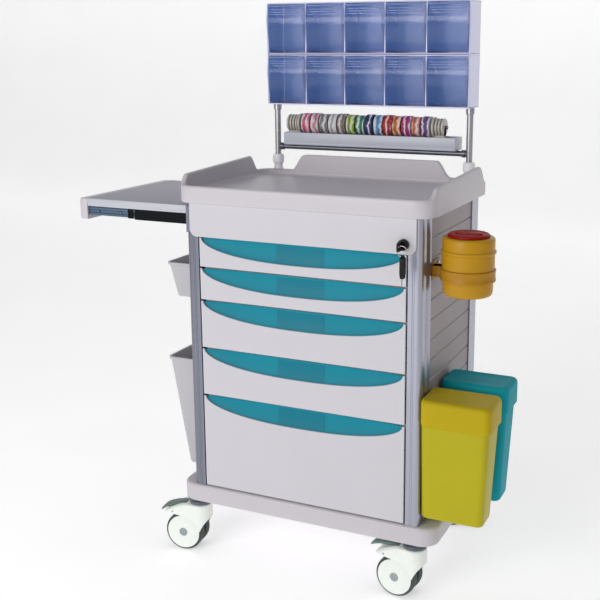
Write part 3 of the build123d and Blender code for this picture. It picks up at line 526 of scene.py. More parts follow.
def drawer(index, top, bottom):
    body = f"drawer_{index}"
    # front with the curved cut-out: the skin, then the lip that turns in behind it
    edge = [(x, top - pull_drop(x)) for x in PULL_STATIONS]
    outline = [(-FRONT_HALF, bottom), (FRONT_HALF, bottom), (FRONT_HALF, top), *reversed(edge), (-FRONT_HALF, top)]
    extrude_outline(outline, lambda u, v, w: at(u, -w, v), 223.5, 228)
    piece(f"{body}_front", "front", body, 1.5, 3, 40, (f"{body}_body",))
    # backing of the front, behind the pull
    block(-253.2, 253.2, -207.6, -204, bottom + 0.8, top - 0.8)
    block(-253.2, 253.2, -223.5, -207.6, bottom + 0.8, top - 58.5 if top - bottom > 70 else bottom + 8)
    piece(f"{body}_back", "front", body, 0.8, 2, 40)
    # box with a rolled rim
    low, high = bottom + 8, min(top - 12, bottom + 176)
    loops = []
    for reach, z in ((238, low), (241.5, low + 1.2), (243, low + 4), (243, high - 1.5), (242.3, high), (241.2, high),
                     (240.5, high - 1.5), (240.5, low + 6), (238, low + 3)):
        loops.append(level(rounded_rect(-reach, reach, -204, 150 - (243 - reach), 2.5, 3), z))
    loft(loops)
    piece(f"{body}_box", "box", body, angle=50)
    middle = low + 16
    for side in (-1, 1):
        outline = [(243, middle - 9), (248.4, middle - 9), (249, middle - 8), (249, middle - 4), (247.4, middle - 2.5),
                   (247.4, middle + 2.5), (249, middle + 4), (249, middle + 8), (248.4, middle + 9), (243, middle + 9)]
        prism_y(outline, -200, 155, side)
    piece(f"{body}_runners", "steel", body, 0.3, 1, 40)
    shares = (0.0, 0.04, 0.12, 0.25, 0.45, 0.7, 0.88, 0.96, 1.0)
    loft(pull_grid(PULL_STATIONS, shares, top, 0.0, 1.004, True), False, False, closed=False)
    bmesh.ops.solidify(bm, geom=bm.faces[:], thickness=0.0022)
    piece(f"{body}_pull", "teal", body, angle=40, replaces=(f"{body}_handle",))
    # label window: a thin clear-fronted strip let into the pull
    window = [-60 + 118 * k / 12 for k in range(13)]
    loft(pull_grid(window, (0.10, 0.3, 0.5, 0.7, 0.9), top, 0.55), False, False, closed=False)
    bmesh.ops.solidify(bm, geom=bm.faces[:], thickness=0.0012)
    piece(f"{body}_label_window", "label", body, 0.25, 1, 40)


def drawers():
    top = STACK_TOP
    for index, pitch in enumerate(PITCHES, start=1):
        drawer(index, top - 2, top - pitch + 2)
        top -= pitch


# ------------------------------------------------------------------ lock and keys
def key_blade(x, y, top, bottom):
    """Cut blade below a bow, in the plane of depth and height."""
    teeth = [(3.6, top), (3.6, top - 6), (2.2, top - 8)]
    z = top - 9
    wobble = (0.6, 1.5, 0.9, 1.9, 1.1, 0.4)
    for k in range(6):
        teeth.append((3.4 - wobble[k], z))
        z -= (top - bottom - 12) / 6
        teeth.append((3.4 - wobble[k], z + 1))
    outline = teeth + [(1.0, bottom), (-1.0, bottom), (-3.6, bottom + 3), (-3.6, top)]
    prism_x([(y + u, v) for u, v in outline], x - 1.1, x + 1.1)


def keys():
    x, z = 249, 818
    ring_x = x + 8
    lathe([(9.5, 0), (9.5, 5), (12, 5.3), (12, 14), (11.2, 16.2), (9.6, 17), (6.6, 17), (6.06, 16.2), (6.06, 0)],
          forward(x, COLUMN_FRONT, z), 48)
    piece("lock_barrel", "lock", "trolley", angle=40, replaces=("lock_housing",))
    lathe([(0.5, 0), (5.9, 0), (5.9, 16.5), (5.2, 17.2), (0.5, 17.2)], forward(x, COLUMN_FRONT, z), 32)
    piece("lock_plug", "lock", "lock_key", angle=40)
    # bow of the key in the lock, with the hole that the ring goes through
    bow_with_hole(x, -257, z, 14, 10, (-264, z), 4.0, 3.6)
    piece("lock_key_bow", "lock", "lock_key", 0.6, 2, 40, ("lock_key",))
    ring_y, ring_z = -264, 810.45
    tube([at(a, ring_y, b) for a, b in arc_points(ring_x, ring_z, 11, 0, 350, 35)], 0.9, 10, True)
    piece("key_ring", "nickel", "spare_key", angle=60)
    top = ring_z - 15
    bow_with_hole(ring_x + 2.2, ring_y, top - 20, 9.5, 23, (ring_y, ring_z - 11), 2.0, 7.6)
    piece("spare_key_bow", "lock", "spare_key", 0.6, 2, 40, ("spare_key",))
    key_blade(ring_x, ring_y, top - 42, top - 60)
    piece("spare_key_blade", "nickel", "spare_key", 0.15, 1, 40)


def bow_with_hole(x, cy, cz, half_y, half_z, hole, radius, thickness=2.6):
    """Rounded plate in the depth-height plane with one round hole, bridged ring by ring."""
    outer, inner = [], []
    corner = min(6.0, half_y, half_z)
    for direction in circle(48):
        # march out from the hole's centre to the rounded plate's edge
        low, high = 0.0, 60.0
        for _ in range(30):
            middle = (low + high) / 2
            py, pz = hole[0] + direction[0] * middle - cy, hole[1] + direction[1] * middle - cz
            qy, qz = max(abs(py) - (half_y - corner), 0), max(abs(pz) - (half_z - corner), 0)
            inside = abs(py) <= half_y and abs(pz) <= half_z and math.hypot(qy, qz) <= corner
            low, high = (middle, high) if inside else (low, middle)
        outer.append((hole[0] + direction[0] * low, hole[1] + direction[1] * low))
        inner.append((hole[0] + direction[0] * radius, hole[1] + direction[1] * radius))
    half = thickness / 2
    loops = [[at(x - half, *p) for p in inner], [at(x - half, *p) for p in outer], [at(x + half, *p) for p in outer],
             [at(x + half, *p) for p in inner]]
    loops.append(loops[0])
    loft(loops, False, False)


# ------------------------------------------------------------------ rack
def posts():
    for side in (-1, 1):
        lathe([(7.4, 908), (8, 908.6), (8, 1079), (0.5, 1079)], upright(side * POST_X, POST_Y), 36)
        lathe([(8.2, 1064), (10.5, 1064.5), (10.5, 1078), (8.2, 1079)], upright(side * POST_X, POST_Y), 36)
    piece("rack_post_tubes", "post", "trolley", angle=40, replaces=("rack_posts",))
    lathe([(7, -256), (7, 256)], crosswise(POST_Y, CROSSBAR_Z), 32)
    for side in (-1, 1):
        lathe([(7.2, side * 243), (9.4, side * 244), (9.4, side * 252), (7.2, side * 253.5)],
              crosswise(POST_Y, CROSSBAR_Z), 32)
    # cross tube in the darker metal, painted shade under the label tray
    piece("rack_cross_tube", "bar", "trolley", angle=40)
    for side in (-1, 1):
        lathe([(8.2, 908.2), (12.6, 908.2), (12.8, 910), (11.6, 912), (11.2, 920), (12, 923), (14.6, 925.5), (15, 928),
               (15, 941), (14.2, 944.6), (12.4, 947), (9.2, 948), (8.2, 948)], upright(side * POST_X, POST_Y), 48)
    piece("collar_mouldings", "collar", "trolley", angle=35, replaces=("post_collars",))


ROW_BOTTOMS = (1079, 1206)
CELL = (538 - 3) / 5


def rack():
    for bottom in ROW_BOTTOMS:
        x0, x1, top = -269, 269, bottom + 127
        block(x0, x1, 150, 238, bottom, bottom + 3)
        block(x0, x1, 150, 238, top - 3, top)
        for k in range(6):
            left = x0 + k * CELL
            block(left, left + 3, 150, 235, bottom + 3, top - 3)
    piece("rack_frames", "rack", "trolley", 0.8, 2, 40, ("bin_frames",))
    for bottom in ROW_BOTTOMS:
        block(-266, 266, 235, 237.8, bottom + 3, bottom + 124)
    piece("rack_back_sheets", "rack", "trolley", 0.4, 1, 40)


def tilt_bin(index, x, bottom):
    """Open bin with a bulged front and a finger lip, walls 2 thick."""
    body = f"tilt_bin_{index:02d}"
    half = CELL / 2 - 3.0
    wall = 2.0

    def rail(offset):
        """Front-to-rear path seen from the side at the outer (0) or inner (wall) surface."""
        low = bottom + 6 + offset
        points = [(219 - offset, bottom + 76), (219 - offset, low + 10), (216 - offset, low + 3), (209 - offset, low),
                  (180, low), (160 + offset, low), (156 + offset, low + 1.5)]
        for t in (0.15, 0.35, 0.55, 0.75, 0.9, 1.0):
            points.append((156 + offset - 21 * (1 - (1 - t) ** 1.7), low + 80 * t - offset * t))
        points += [(135.6 + offset, bottom + 92 - offset), (138 + offset, bottom + 98 - offset * 1.5)]
        points += [(142 + offset, bottom + 110), (146.5 + offset * 0.6, bottom + 119)]
        return points

    outer, inner = rail(0.0), rail(wall)
    count = len(outer)
    left, right = x - half, x + half
    outer_rows = [[bm.verts.new(at(edge, *p)) for p in outer] for edge in (left, right)]
    inner_rows = [[bm.verts.new(at(edge, *p)) for p in inner] for edge in (left + wall, right - wall)]
    for k in range(count - 1):
        bm.faces.new((outer_rows[0][k], outer_rows[0][k + 1], outer_rows[1][k + 1], outer_rows[1][k]))
        bm.faces.new((inner_rows[0][k], inner_rows[1][k], inner_rows[1][k + 1], inner_rows[0][k + 1]))
    for k in (0, count - 1):
        bm.faces.new((outer_rows[0][k], outer_rows[1][k], inner_rows[1][k], inner_rows[0][k]))
    for side in (0, 1):
        bm.faces.new(outer_rows[side])
        bm.faces.new(inner_rows[side])
        bm.faces.new((outer_rows[side][0], outer_rows[side][-1], inner_rows[side][-1], inner_rows[side][0]))
    bmesh.ops.triangulate(bm, faces=[f for f in bm.faces if len(f.verts) > 4])
    piece(f"{body}_cup", "bin", body, angle=35, replaces=(body,))
    # finger lip and two hinge buttons
    outline = [(146.5, bottom + 119), (141.5, bottom + 116.4), (139.8, bottom + 117.8), (140.6, bottom + 119.6),
               (146, bottom + 121)]
    prism_x(outline, left + 1, right - 1)
    for rise, depth in ((97, 137.4), (103, 139.6), (109, 141.7)):
        block(left + 8, right - 8, depth - 1.0, depth + 0.6, bottom + rise, bottom + rise + 1.4)
    for side, inner_x, outer_x in ((-1, left, left - 1.2), (1, right, right + 1.2)):
        lathe([(0.4, inner_x), (3, inner_x), (3, outer_x), (0.4, outer_x)], crosswise(160, bottom + 10), 20)
    # lighter blue on the lip and ribs: painted highlight
    piece(f"{body}_lip", "bin_rib_painted_highlight", body, 0.3, 2, 30)


def bins():
    for index in range(10):
        row, place = divmod(index, 5)
        tilt_bin(index + 1, (place - 2) * CELL, ROW_BOTTOMS[1 - row])


ROLL_WIDTHS = (27, 24, 26, 25, 24, 26, 25, 24, 26, 25, 24, 26, 25, 24)
ROLL_RADII = (26, 27, 25, 26, 27, 25, 24, 27, 26, 27, 25, 26, 24, 26)


def label_station():
    slab_levels = [(975, 1.5), (975.4, 0.6), (976.5, 0), (1005.6, 0), (1006.8, 0.5), (1007, 1.2), (1006.8, 1.9),
                   (1005.6, 2.5), (980, 2.5), (978, 4)]
    loops = []
    for z, inset in slab_levels:
        outline = rounded_rect(-234 + inset, 234 - inset, 164 + inset, 220 - inset, max(0.8, 3 - inset), 4)
        loops.append(level(outline, z))
    loft(loops)
    # bead along the foot of the front
    block(-228, 228, 162.6, 165, 978, 981)
    piece("label_trough_shell", "tray", "trolley", angle=40, replaces=("label_tray",))
    lathe([(4, -227), (4, 205)], crosswise(ROD_Y, ROD_Z), 24)
    piece("label_rod", "bar", "trolley", angle=40)
    for start, ribs in ((ROLLS_LEFT - 42, 5), (ROLLS_LEFT + sum(ROLL_WIDTHS) + 4, 4)):
        outline = [(-8, 977.5), (8, 977.5), (8, 1026), (-8, 1026)]
        loft([[at(start + w, ROD_Y + u, v) for u, v in outline] for w in (0, ribs * 8 - 3)])
        profile = [(4.2, start)]
        for rib in range(ribs):
            x = start + 8 * rib
            rim = 25 if rib == (ribs - 1 if start < 0 else 0) else 22
            profile += [(14, x), (rim - 0.8, x), (rim, x + 0.8), (rim, x + 4.2), (rim - 0.8, x + 5), (14, x + 5)]
        profile.append((4.2, start + ribs * 8 - 3))
        lathe(profile, crosswise(ROD_Y, ROD_Z), 48)
    piece("roll_holders", "holder", "trolley", angle=30)
    left = ROLLS_LEFT
    for index, (name, width, radius) in enumerate(zip(ROLLS, ROLL_WIDTHS, ROLL_RADII)):
        M["roll_" + name] = roll_material(name, linear(ROLLS[name]))
        a0, a1 = left + 1.8, left + width - 1.8
        lathe([(4.3, a0), (11, a0), (11.2, a0 + 0.5), (12.6, a0 + 0.5), (12.8, a0), (radius - 0.5, a0),
               (radius, a0 + 0.5), (radius, a1 - 0.5), (radius - 0.5, a1), (12.8, a1), (12.6, a1 - 0.5),
               (4.3, a1 - 0.5)], crosswise(ROD_Y, ROD_Z), 56)
        piece(f"label_roll_{index + 1:02d}", "roll_" + name, "label_rolls", angle=35,
              replaces=("label_rolls",) if index == 0 else ())
        left += width


def roll_material(name, colour):
    """Wound paper: wound layers on the ends, and a band of separate labels with gaps round the outside."""
    material, tree, shader = new_material("roll_" + name)
    coords = tree.nodes.new("ShaderNodeTexCoord").outputs["Object"]
    wave = tree.nodes.new("ShaderNodeTexWave")
    wave.wave_type = "BANDS"
    wave.bands_direction = "X"
    wave.inputs["Scale"].default_value = 20.0
    wave.inputs["Distortion"].default_value = 3.5
    wave.inputs["Detail Scale"].default_value = 3.0
    wave.inputs["Detail"].default_value = 2.0
    link(tree, coords, wave.inputs["Vector"])
    base = ramp(tree, wave.outputs["Fac"], [(0.1, scaled(colour, 0.5)), (0.3, colour), (0.74, colour),
                                            (0.84, (0.70, 0.70, 0.72))])
    link(tree, base, shader.inputs["Base Color"])
    fibres = noise(tree, coords, 500.0, 3.0)
    gloss = ramp(tree, fibres, [(0.3, grey(0.5)), (0.7, grey(0.75))])
    link(tree, gloss, shader.inputs["Roughness"])
    emboss(tree, shader, fibres, 0.2, 0.0005)
    return material


# ------------------------------------------------------------------ sharps container
def sharps():
    cx, cy = 369, -160
    place = upright(cx, cy)
    lathe([(0.5, 706), (44, 706), (47, 706.4), (50.5, 708), (52.6, 711), (53.4, 716), (53.9, 722), (53.9, 763.5),
           (56, 764.5), (56, 796.5), (57.2, 797.6), (58.8, 799), (58.8, 803), (57.2, 804.4), (56, 805.4), (56, 827),
           (55.2, 830), (53, 831.7), (50, 832), (36, 832), (34, 831.4), (34, 826)], place, 96)
    piece("sharps_body", "gold", "trolley", angle=40, replaces=("sharps_container",))
    lathe([(0.5, 828), (33.6, 828), (33.6, 832.4), (44, 832.4), (44.2, 834), (43.6, 837.4), (41.8, 839.1), (39, 839.4),
           (35, 838.2), (31, 837.8), (0.5, 837.8)], place, 80)
    for c, s in circle(24):
        points = []
        for radius, width, z in ((43.4, 1.4, 833.5), (45.0, 1.0, 833.8), (45.0, 1.0, 836.8), (43.2, 1.4, 837.8)):
            points.append((cx + c * radius - s * width, cy + s * radius + c * width, z))
            points.append((cx + c * radius + s * width, cy + s * radius - c * width, z))
        add_faces([at(*p) for p in points],
                  [(0, 1, 3, 2), (2, 3, 5, 4), (4, 5, 7, 6), (0, 2, 4, 6), (1, 7, 5, 3), (0, 6, 7, 1)])
    # raised bar across the lid
    outline = rounded_rect(-30, 30, -7, 7, 6.5, 6)
    loft([[at(cx + x * k, cy + y * k, z) for x, y in outline] for z, k in ((837.6, 1.0), (840.2, 0.98), (841, 0.9))])
    piece("sharps_cap", "red", "sharps_lid", angle=40, replaces=("sharps_lid",))
    lathe([(54.2, 738), (58, 738), (59, 739), (59, 742), (58.2, 743.4), (58.2, 758.6), (59, 760), (59, 763), (58, 764),
           (54.2, 764)], place, 96, closed=True)
    block(289.5, 316, -164, -140, 739, 763)
    for z0, z1 in ((739, 742.5), (759.5, 763)):
        block(289.5, 322, -165, -139, z0, z1)
    piece("sharps_band", "band", "trolley", 0.8, 2, 50, ("sharps_holder",))
    outline = rounded_rect(-162, -112, 731, 771, 4, 6)
    loft([across(outline, x) for x in (286, 289.8)])
    piece("sharps_wall_plate", "band", "trolley", 0.8, 2, 40)


# ------------------------------------------------------------------ waste bins and storage boxes
def tapered(x_panel, side, length, front, depth, bottom, top, taper, draft, wall=2.5, rim=0.0, radius=12.0):
    """Open box that narrows to its foot: taper is lost from its reach, draft from each end of its depth."""
    def outline(t, inset, grow=0.0):
        reach = length - taper * (1 - t)
        squeeze = draft * (1 - t)
        x0, x1 = inset, reach - inset + grow
        pts = rounded_rect(x0, x1, front + squeeze + inset - grow, front + depth - squeeze - inset + grow,
                           max(2.0, radius - inset + grow), 8)
        return [(x_panel + side * x, y) for x, y in pts]

    height = top - bottom
    levels = [(0.0, 6.0, 0.0), (0.003, 3.0, 0.0), (0.012, 0.9, 0.0), (0.03, 0.0, 0.0)]
    if rim:
        levels += [(1 - 8 / height, 0.0, 0.0), (1 - 7 / height, 0.0, rim * 0.6), (1 - 6 / height, 0.0, rim),
                   (1 - 1.2 / height, 0.0, rim), (1.0, 0.8, rim)]
    else:
        levels += [(0.985, 0.0, 0.0), (1.0, 0.6, 0.0)]
    levels += [(1.0, wall - 0.4, 0.0), (0.995, wall, 0.0), (0.04, wall, 0.0), (0.018, wall + 4, 0.0)]
    loft([level(outline(t, inset, grow), bottom + height * t) for t, inset, grow in levels])


WASTE_DEPTH = 98


def waste(colour, front, material, lid_material):
    tapered(WALL_X, 1, 154, front, WASTE_DEPTH, 203, 455, 12, 12, radius=16)
    piece(f"waste_{colour}_tub", material, "trolley", angle=50,
          replaces=(f"waste_bin_{colour}",))
    x0, x1, y0, y1 = WALL_X, WALL_X + 157.7, front - 3.7, front + WASTE_DEPTH + 3.7
    loops = []
    rings = [(426, 2.3), (424.6, 2.2), (424, 1.5), (424, 0.7), (424.7, 0.1), (426, 0), (470, 0), (474, 0.6),
             (477.5, 2.2), (480, 4.8), (481.4, 8.4), (481.6, 14), (481.0, 17), (480.4, 22), (480.2, 34)]
    for z, inset in rings:
        outline = rounded_rect(x0 + min(inset, 6) * 0.4, x1 - inset, y0 + inset, y1 - inset,
                               max(3.0, 16 - inset * 0.5), 8)
        loops.append(level(outline, z))
    inside = [level(rounded_rect(x0 + 1.0, x1 - inset, y0 + inset, y1 - inset, 13.5, 8), z)
              for z, inset in ((430, 2.5), (456, 2.5), (457, 6))]
    loft(list(reversed(inside)) + loops)
    # open the panel side below the hinge
    cut = at(298.5, 0, 0).x
    doomed = [f for f in bm.faces if all(v.co.x < cut for v in f.verts)
              and all(v.co.z < 0.4485 + 1e-4 for v in f.verts)]
    bmesh.ops.delete(bm, geom=doomed, context="FACES")
    bmesh.ops.delete(bm, geom=[v for v in bm.verts if not v.link_faces], context="VERTS")
    piece(f"waste_{colour}_cover", lid_material, f"waste_lid_{colour}", angle=50,
          replaces=(f"waste_lid_{colour}",))


def side_boxes():
    for name, low, high, length, taper, draft in (("upper", 622, 708, 108, 18, 8), ("lower", 183, 466, 114, 40, 14)):
        tapered(-WALL_X, -1, length, -146, 112, low, high, taper, draft, rim=4.0, radius=12)
        piece(f"storage_{name}_tub", "box", "trolley", angle=45, replaces=(f"storage_box_{name}",))


# ------------------------------------------------------------------ side shelf
def shelf():
    slab(-587, -205, SHELF_FRONT, SHELF_BACK, 2, [(850, 0), (861, 0), (861.7, 0.3), (862, 1.0)], 3)
    piece("shelf_board_top", "strip", "side_shelf", angle=40, replaces=("side_shelf",))
    slab(-585.5, -206, -201.4, 163.4, 2, [(861.9, 0), (862.25, 0), (862.35, 0.2)], 3)
    piece("shelf_board_sheet", "laminate", "side_shelf", angle=40)
    loops = []
    for x, inset in ((-609, 3.0), (-608.2, 1.2), (-606, 0.0), (-588, 0.0), (-587, 0.8)):
        outline = rounded_rect(SHELF_FRONT + inset, SHELF_BACK - inset, 810 + inset, 862 - inset, 4, 5)
        loops.append(across(outline, x))
    loft(loops)
    piece("shelf_end_cap", "abs", "side_shelf", angle=40)
    for y0, y1 in ((-192, -189), (151, 154)):
        block(-587, -205, y0, y1, 821, 850)
    block(-586, -205, -202.6, -189, 843.6, 850)
    block(-586, -205, 151, 164.6, 843.6, 850)
    piece("shelf_edge_strips", "strip", "side_shelf", 0.6, 2, 40)


def slide_member(name, kind, x0, x1, body, material, replaces=()):
    """A front bar and its mirrored rear bar; the inner kind has rivets on its web."""
    half, web = {"mid": (13.5, 2.2), "inner": (10, 4.4)}[kind]
    for mirrored in (False, True):
        def place(u, v, w, m=mirrored):
            y = SHELF_FRONT + u
            return at(w, SHELF_FRONT + SHELF_BACK - y if m else y, SLIDE_Z + v)
        if kind == "inner":
            outline = [(web, -half + 1), (web + 1, -half), (11, -half), (11, half), (web + 1, half), (web, half - 1),
                       (web, 4), (web + 1.4, 2.6), (web + 1.4, -2.6), (web, -4)]
        else:
            t = 1.2
            outline = [(web, -half + 1), (web + 1, -half), (11, -half), (11, -half + t), (web + t, -half + t),
                       (web + t, half - t), (11, half - t), (11, half), (web + 1, half), (web, half - 1)]
        extrude_outline(outline, place, x0, x1)
        if kind == "inner":
            for k in range(6):
                x = x0 + 30 + k * (x1 - x0 - 60) / 5
                lathe([(0.4, 0), (3.4, 0), (3.4, 0.8), (2.8, 1.2), (0.4, 1.2)],
                      lambda a, b, h, p=place, c=x: p(web - h + 0.2, b, c + a), 20)
    piece(name, material, body, 0.25, 1, 40, replaces)


def shelf_slides():
    slide_member("shelf_slide_inner_bars", "inner", -587, -205, "side_shelf", "inner",
                 ("shelf_slides_inner",))
    for y0, y1 in ((-199.2, -192), (154, 161.2)):
        block(-471, -454, y0, y1, 819.6, 842.4)
        for x in (-468, -461):
            block(x, x + 3, min(y0, y1) - 0.2, y1 + 0.2, 818.9, 843.1)
    piece("shelf_slide_buffers", "black", "side_shelf", 0.8, 2, 40)
    slide_member("shelf_slide_mid_bars", "mid", -450, -150, "shelf_mid", "black", ("shelf_slides_mid",))


# ------------------------------------------------------------------ casters
SPOTS = {"fl": (-287, -203, 187), "fr": (274, -203, 174), "rl": (-280, 186, 172), "rr": (280, 186, 196)}
TRAIL, WHEEL_RADIUS = 38, 48
HOOD_HALF, HOOD_CROWN = 28.0, 121.4


def spot_place(spot):
    """Local caster coordinates (s along the trail's opposite, t across, z) to the row frame."""
    x, y, trail_direction = SPOTS[spot]
    turn = math.radians(trail_direction - 180)
    c, s = math.cos(turn), math.sin(turn)
    return lambda a, b, h: at(x + a * c - b * s, y + a * s + b * c, h)


def hood_top(s):
    """Height of the hood's crown along the trail."""
    if s > -30:
        return HOOD_CROWN
    t = (s + 30) / -58
    return HOOD_CROWN - 23.4 * t ** 1.55


def hood_half(s):
    """Half width of the hood in plan: round at the swivel, full along the wheels, drawn in at the tail."""
    if s > 0:
        return math.sqrt(max(0.0, HOOD_HALF ** 2 - s * s))
    if s < -74:
        return HOOD_HALF * math.sqrt(1 - ((s + 74) / -15.0) ** 2 * 0.45)
    return HOOD_HALF


def hood_skirt(s):
    """Lower edge of the hood's sides."""
    stops = [(-88, 97.0), (-84, 96.2), (-76, 94.2), (-66, 92.6), (-56, 91.4), (-46, 90.2), (-43, 82), (-40, 54),
             (4, 52), (6, 54), (9, 61), (14, 70), (21, 79), (28, 87)]
    for (s0, z0), (s1, z1) in zip(stops, stops[1:]):
        if s <= s1:
            return z0 + (z1 - z0) * (s - s0) / (s1 - s0)
    return 87.0


def hood_section(s, inside, pocket):
    """Half of one section, from the lower edge over the shoulder to the middle; inside gives the inner skin."""
    half, top, low = hood_half(s), hood_top(s), hood_skirt(s)
    if inside:
        if s > 25.5:
            return [(0.3, low + 0.1)] * 9
        half, top = min(half - 0.5, max(half - 1.8, 26.2)) if s < 9.5 and half > 26.7 else half - 1.8, top - 1.8
    shoulder = max(1.6, min(8.0, half - 18.2)) if s < -30 else min(8.0, half * 0.6)
    floor = top
    rail = min(16.6, (half - shoulder) * 0.8)
    if pocket and s < -32:
        floor = min(top - 0.2, 111.4 + (s + 38) * 0.2 - (1.8 if inside else 0.0))
        rail = 16.9
        if inside:
            rail, shoulder = 18.7, min(shoulder, half - 19.4)
    points = [(half, low), (half, (low + top - shoulder) / 2), (half, top - shoulder)]
    points += arc_points(half - shoulder, top - shoulder, shoulder, 25, 75, 2)
    points += [(half - shoulder, top), (rail, top - 0.05), (rail - 0.4 if not inside else rail, floor)]
    return points


def caster(spot):
    place = spot_place(spot)
    body = f"caster_{spot}"
    pocket = spot in ("fl", "fr")

    def axle(side=1):
        return lambda a, b, h: place(-TRAIL + a, side * h, WHEEL_RADIUS + b)

    stations = [HOOD_HALF * math.cos(math.radians(a)) for a in (6, 14, 22, 32, 44, 54, 62, 71, 78)]
    stations += [4, 0, -10, -20, -30, -31.9, -32.1, -39, -40, -43, -46, -56, -66, -74, -80, -84, -87, -88]
    loops = []
    for s in stations:
        outer, inner = hood_section(s, False, pocket), hood_section(s, True, pocket)
        path = [(b, z) for b, z in outer] + [(-b, z) for b, z in reversed(outer)]
        path += [(-b, z) for b, z in inner] + [(b, z) for b, z in reversed(inner)]
        loops.append([place(s, b, z) for b, z in path])
    loft(loops)
    piece(f"{body}_hood", "caster", body, angle=42, replaces=(f"caster_{spot}_fork",))
    # wheel discs, flush with the hood's sides
    for side in (-1, 1):
        lathe([(0.5, 26.3), (41.4, 26.3), (41.9, 26.8), (41.7, 27.5), (40.8, 28.06), (20, 28.1), (0.5, 28.1)],
              axle(side), 72)
    piece(f"{body}_discs", "caster", body, angle=35)
    # middle web that carries the axle, and the stem
    outline = [(-TRAIL - 30, 88), (14, 88), (8, 74)] + arc_points(-TRAIL, WHEEL_RADIUS, 10, 20, -200, 11)
    loft([[place(s, b, z) for s, z in outline] for b in (-4.4, 4.4)])
    lathe([(6, 116), (6, 130.4), (0.5, 130.4), (0.5, 116)], place, 24)
    piece(f"{body}_web", "caster", body, 0.6, 2, 40)
    # hub caps and side pins
    for side in (-1, 1):
        lathe([(0.5, 28.0), (10.4, 28.0), (10.4, 28.9), (9.4, 29.6), (7.6, 29.8), (6.4, 29.2), (0.5, 29.0)],
              axle(side), 40)
        lathe([(0.3, 27.8), (2.2, 27.8), (2.2, 28.5), (1.6, 28.8), (0.3, 28.8)],
              lambda a, b, h, s=side: place(-66 + a, s * h, 98.5 + b), 20)
    piece(f"{body}_caps", "hub", body, angle=35)
    # wheels
    wheel = f"wheel_{spot}"
    for near, far in ((5, 26), (-26, -5)):
        mid = (near + far) / 2
        lathe([(39.5, near), (44, near), (46.4, near + 0.9), (47.6, near + 3), (48, near + 6), (48, mid - 1.2),
               (47.2, mid - 0.6), (47.2, mid + 0.6), (48, mid + 1.2), (48, far - 6), (47.6, far - 3),
               (46.4, far - 0.9), (44, far), (39.5, far)], axle(), 72, closed=True)
    piece(f"{wheel}_tyres", "tyre", wheel, angle=40, replaces=(f"caster_{spot}_wheel",))
    for near, far in ((5, 26), (-26, -5)):
        lathe([(4.1, near + 2), (10, near + 1), (11, near + 4), (30, near + 6), (38, near + 2), (39.6, near + 0.6),
               (39.6, far - 0.6), (38, far - 2), (30, far - 6), (11, far - 4), (10, far - 1), (4.1, far - 2)],
              axle(), 56, closed=True)
    lathe([(0.5, -24), (4.05, -24), (4.05, 24), (0.5, 24)], axle(), 20)
    piece(f"{wheel}_rims", "caster", wheel, angle=35)


def caster_heads():
    for spot in SPOTS:
        place = spot_place(spot)
        lathe([(6.2, 122.1), (25.5, 122.1), (27.4, 122.9), (28, 124.4), (28, 129), (26.6, 131), (24, 132), (6.2, 132)],
              place, 56, closed=True)
        outline = rounded_rect(-22, 22, -22, 22, 6, 5)
        loft([[place(s, t, z) for s, t in outline] for z in (132, 136)])
    piece("caster_head_rings", "head", "trolley", angle=35, replaces=("caster_plates",))


def pedal(name, spot, tilt):
    """Foot bar: narrow at the hinge, wide rounded pad at the end, ribbed on top."""
    place = spot_place(spot)
    body = f"brake_{name}"
    pivot_s, pivot_z = -38.0, 112.0
    c, s_ = math.cos(math.radians(tilt)), math.sin(math.radians(tilt))

    def lever(a, b, h):
        ds, dz = a - pivot_s, h - pivot_z
        return place(pivot_s + ds * c - dz * s_, b, pivot_z + dz * c + ds * s_)

    rows = [(-34, 7, 114.4, 119.6), (-40, 10, 113.4, 121), (-52, 13, 113.4, 121.8), (-66, 14.6, 113.2, 121.4),
            (-80, 15.2, 112, 119.4), (-92, 15.2, 109, 116.6), (-100, 14.6, 105.6, 113), (-105, 13, 103.2, 109.4),
            (-107, 10.5, 103, 106)]
    loops = []
    for s, half, low, high in rows:
        mid, rise = (low + high) / 2, (high - low) / 2
        loops.append([lever(s, half * math.copysign(abs(ca) ** 0.45, ca),
                            mid + rise * math.copysign(abs(sa) ** 0.6, sa)) for ca, sa in circle(24)])
    loft(loops)
    for s, height in ((-82, 118.6), (-87, 117.5), (-92, 116.2), (-97, 114), (-101, 111.8)):
        block_points = [(s, height - 1.4), (s + 1.8, height - 1.4), (s + 1.5, height + 0.7), (s + 0.3, height + 0.7)]
        loft([[lever(a, b, z) for a, z in block_points] for b in (-11, 11)])
    lathe([(0.4, -16.2), (2.5, -16.2), (2.5, 16.2), (0.4, 16.2)],
          lambda a, b, h: lever(pivot_s + a, h, pivot_z + b), 16)
    piece(f"{body}_lever", "pedal", body, angle=40, replaces=(f"brake_pedal_{name}",))


# ------------------------------------------------------------------ build everything
worktop()
push_handle()
columns()
side_panel(-1, 804, "side_panel_left")
side_panel(1, WORKTOP_BOTTOM, "side_panel_right")
base()
fascia()
drawers()
keys()
posts()
rack()
bins()
label_station()
sharps()
waste("yellow", -234, "yellow", "olive")
waste("teal", -94, "aqua", "aqua")
side_boxes()
shelf()
shelf_slides()
caster_heads()
for spot_name in SPOTS:
    caster(spot_name)
pedal("left", "fl", 11)
pedal("right", "fr", 0)
dress("back_panel", "skin")
dress("slide_rails_fixed", "black")
dress("fasteners", "nickel")


